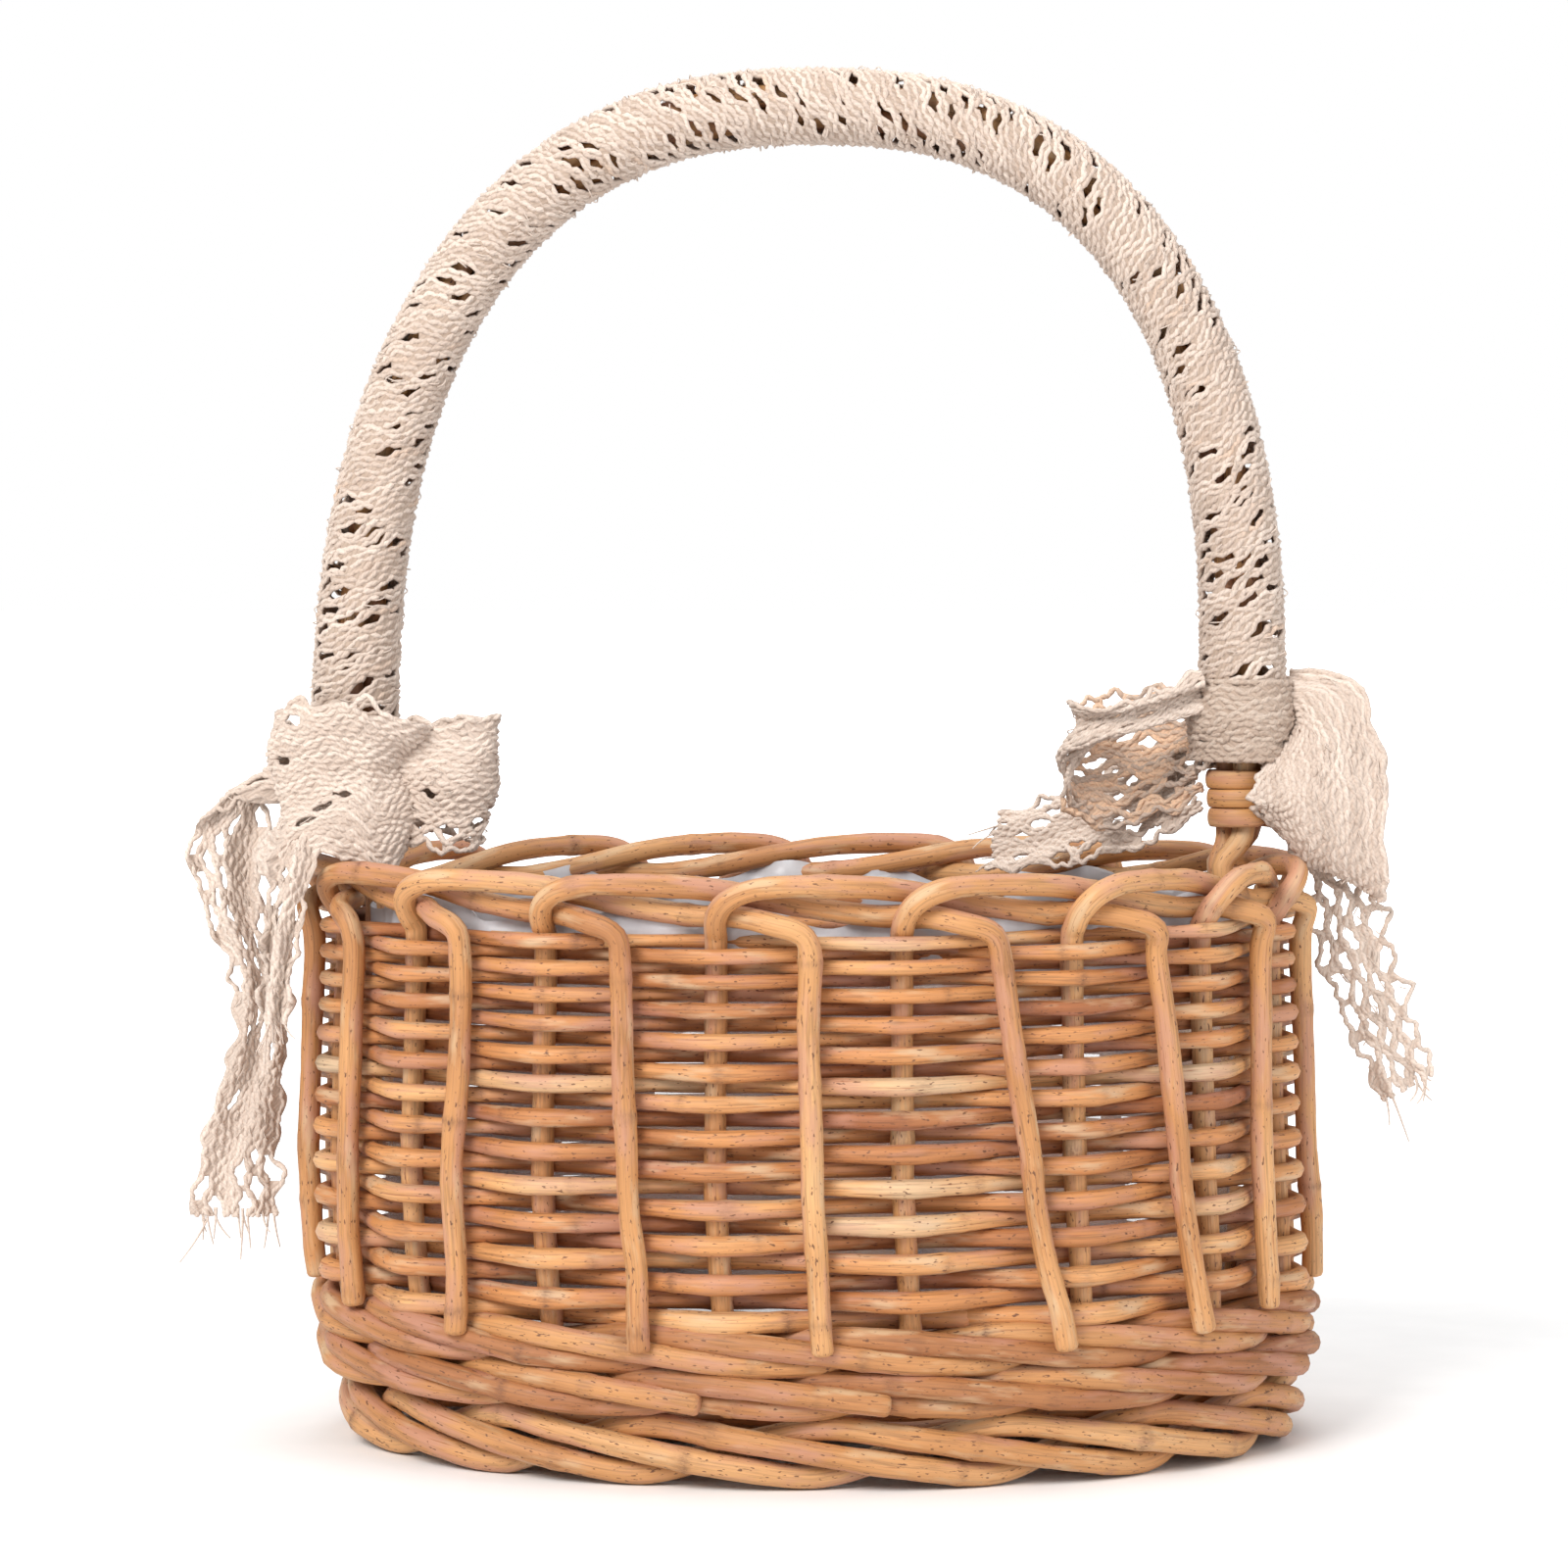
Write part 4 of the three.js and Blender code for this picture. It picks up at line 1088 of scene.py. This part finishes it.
def add_right_bow():
    knot = knot_place("right_bow_knot")
    # The right knot sits in painted shade: the darker lace copy.
    add_knot("right_bow_knot", "right_bow_knot_lace", 930, LACE_PAINTED_SHADE)
    inner = [((-9, 3, -5), (0, 0, 10)), ((-16, 10, -7), (0, 2, 12.5)), ((-25, 12, -9), (0, 2, 13)),
             ((-33.5, 8, -9), (1, 1, 11.5)), ((-35.5, 0, -5), (2, -2, 7.5)), ((-29, -5, -1), (2, -2, 4.5)),
             ((-19, -6, 3), (1, -2, 4)), ((-9, -5, 6), (0, -1, 4))]
    add_ribbon("right_bow_inner_loop_lace", knot, inner, 940, "right_bow_inner_loop", (0.45, 0.95), shaded=36.0,
               puff=0.6, ripple=1.0)
    outer = [((9.5, 0, 2), (0, 1, 8.5)), ((14, -5, 1), (7, 0, 8)), ((15, -9, -7), (12, 0, 4.5)),
             ((15, -11, -15), (13.2, 0, 1)), ((15.5, -10, -22), (13, 0, -4)), ((17, -7, -28), (12, 0, -6.5)),
             ((18.5, -3, -30), (10.5, 0, -6)), ((19.5, 0, -24), (8, 0, -3)), ((17, 2, -12), (6, 0, 1)),
             ((11, 2, -2), (2, 0, 6))]
    add_ribbon("right_bow_outer_loop_lace", knot, outer, 941, "right_bow_outer_loop", (0.0, 0.1), puff=1.5, ripple=0.8)
    hinge = joint_place("right_outer_tail")
    outer_tail = [((15, 5, -20), (5, 0, 2)), ((20.5, 4, -32), (6.3, 0, 2.5)), ((22.5, 1, -43), (6.2, 0, 3)),
                  ((26.5, -1, -55), (5.5, 0, 3.2)), ((31, -1, -67), (5.0, 0, 3)), ((35, -1, -77), (4.8, 0, 2.6))]
    add_ribbon("right_bow_outer_tail_lace", knot, outer_tail, 942, "right_bow_outer_tail", (0.75, 1.0), "right_outer_tail",
               hinge, hinge + [6, 0, -13], 0.8, puff=0.4, ripple=0.5)
    hinge = joint_place("right_inner_tail")
    inner_tail = [((-9, 6, -12), (0, 2, 6)), ((-16, 13, -16), (0, 3, 8.5)), ((-27, 21, -20.5), (1, 4, 8.5)),
                  ((-38, 29, -25), (1, 4, 7)), ((-50, 37, -28), (1, 3, 6))]
    add_ribbon("right_bow_inner_tail_lace", knot, inner_tail, 943, "right_bow_inner_tail", (0.2, 0.6), "right_inner_tail",
               hinge, hinge + [-10, 8, -3], 0.5, puff=0.4, ripple=0.5)


# ---- Stage, light and camera -------------------------------------------------------------
def area_light(name, place, target, size, power, colour=(1, 1, 1)):
    data = bpy.data.lights.new(name, "AREA")
    data.size = size
    data.energy = power
    data.color = colour
    light = bpy.data.objects.new(name, data)
    light.location = place
    light.rotation_euler = (Vector(target) - Vector(place)).to_track_quat("-Z", "Y").to_euler()
    bpy.context.scene.collection.objects.link(light)


def add_stage():
    """Pale seamless floor and soft studio light, mostly from the front left."""
    s = Shader("floor_paper")
    where = s.node("ShaderNodeTexCoord").outputs["Object"]
    tint = s.ramp(s.noise(where, 60.0), (0.3, grey(0.9)), (0.7, grey(0.93)))
    paper = s.finish(tint, 0.9, s.bump(s.noise(where, 900.0), 0.05, 0.1 * MM))
    # Painted light: for the camera the floor glows brighter with distance from the basket, fading into white.
    far = s.node("ShaderNodeVectorMath", operation="LENGTH")
    s.link(where, far.inputs[0])
    glow = s.node("ShaderNodeMapRange", interpolation_type="SMOOTHSTEP")
    s.link(far.outputs["Value"], glow.inputs["Value"])
    for key, value in (("From Min", 0.12), ("From Max", 1.3), ("To Min", 0.0), ("To Max", 1.0)):
        glow.inputs[key].default_value = value
    seen = s.node("ShaderNodeLightPath").outputs["Is Camera Ray"]
    s.link(s.math("MULTIPLY", glow.outputs[0], seen), s.bsdf.inputs["Emission Strength"])
    s.bsdf.inputs["Emission Color"].default_value = (1, 1, 1, 1)
    size = 14.0
    mesh = bpy.data.meshes.new("floor")
    mesh.from_pydata([(-size, -size, 0), (size, -size, 0), (size, size, 0), (-size, size, 0)], [], [(0, 1, 2, 3)])
    mesh.materials.append(paper)
    floor = bpy.data.objects.new("floor", mesh)
    bpy.context.scene.collection.objects.link(floor)
    world = bpy.data.worlds.new("studio")
    world.use_nodes = True
    tree = world.node_tree
    ray = tree.nodes.new("ShaderNodeLightPath")
    strength = tree.nodes.new("ShaderNodeMapRange")
    strength.inputs["To Min"].default_value = 0.55
    strength.inputs["To Max"].default_value = 1.0
    tree.links.new(ray.outputs["Is Camera Ray"], strength.inputs["Value"])
    tree.links.new(strength.outputs[0], tree.nodes["Background"].inputs["Strength"])
    tree.nodes["Background"].inputs["Color"].default_value = (1.0, 1.0, 1.0, 1)
    bpy.context.scene.world = world
    middle = (0, 0, 0.14)
    area_light("key", (-0.75, -1.15, 1.05), middle, 0.75, 24, (1, 0.985, 0.965))
    area_light("fill", (1.1, -0.9, 0.6), middle, 1.0, 6.5, (0.98, 0.985, 1))
    area_light("top", (0.1, 0.2, 1.4), middle, 0.9, 9)
    bpy.context.scene.view_settings.view_transform = "Standard"


def add_camera():
    """The view from the front, a little above the rim, through a long lens."""
    distance, height, offset = 0.933, 0.183, -0.0049
    data = bpy.data.cameras.new("camera")
    data.sensor_width = 36
    data.lens = 102.9
    camera = bpy.data.objects.new("camera", data)
    camera.location = (offset, -distance, height)
    camera.rotation_euler = (math.radians(90 - 2.91), 0, 0)
    bpy.context.scene.collection.objects.link(camera)
    bpy.context.scene.camera = camera


add_stakes()
add_side_weave()
add_wale()
add_foot()
add_base()
add_liner()
add_handle_rods()
add_bindings()
add_handle_lace()
add_left_bow()
add_right_bow()
add_stage()
add_camera()
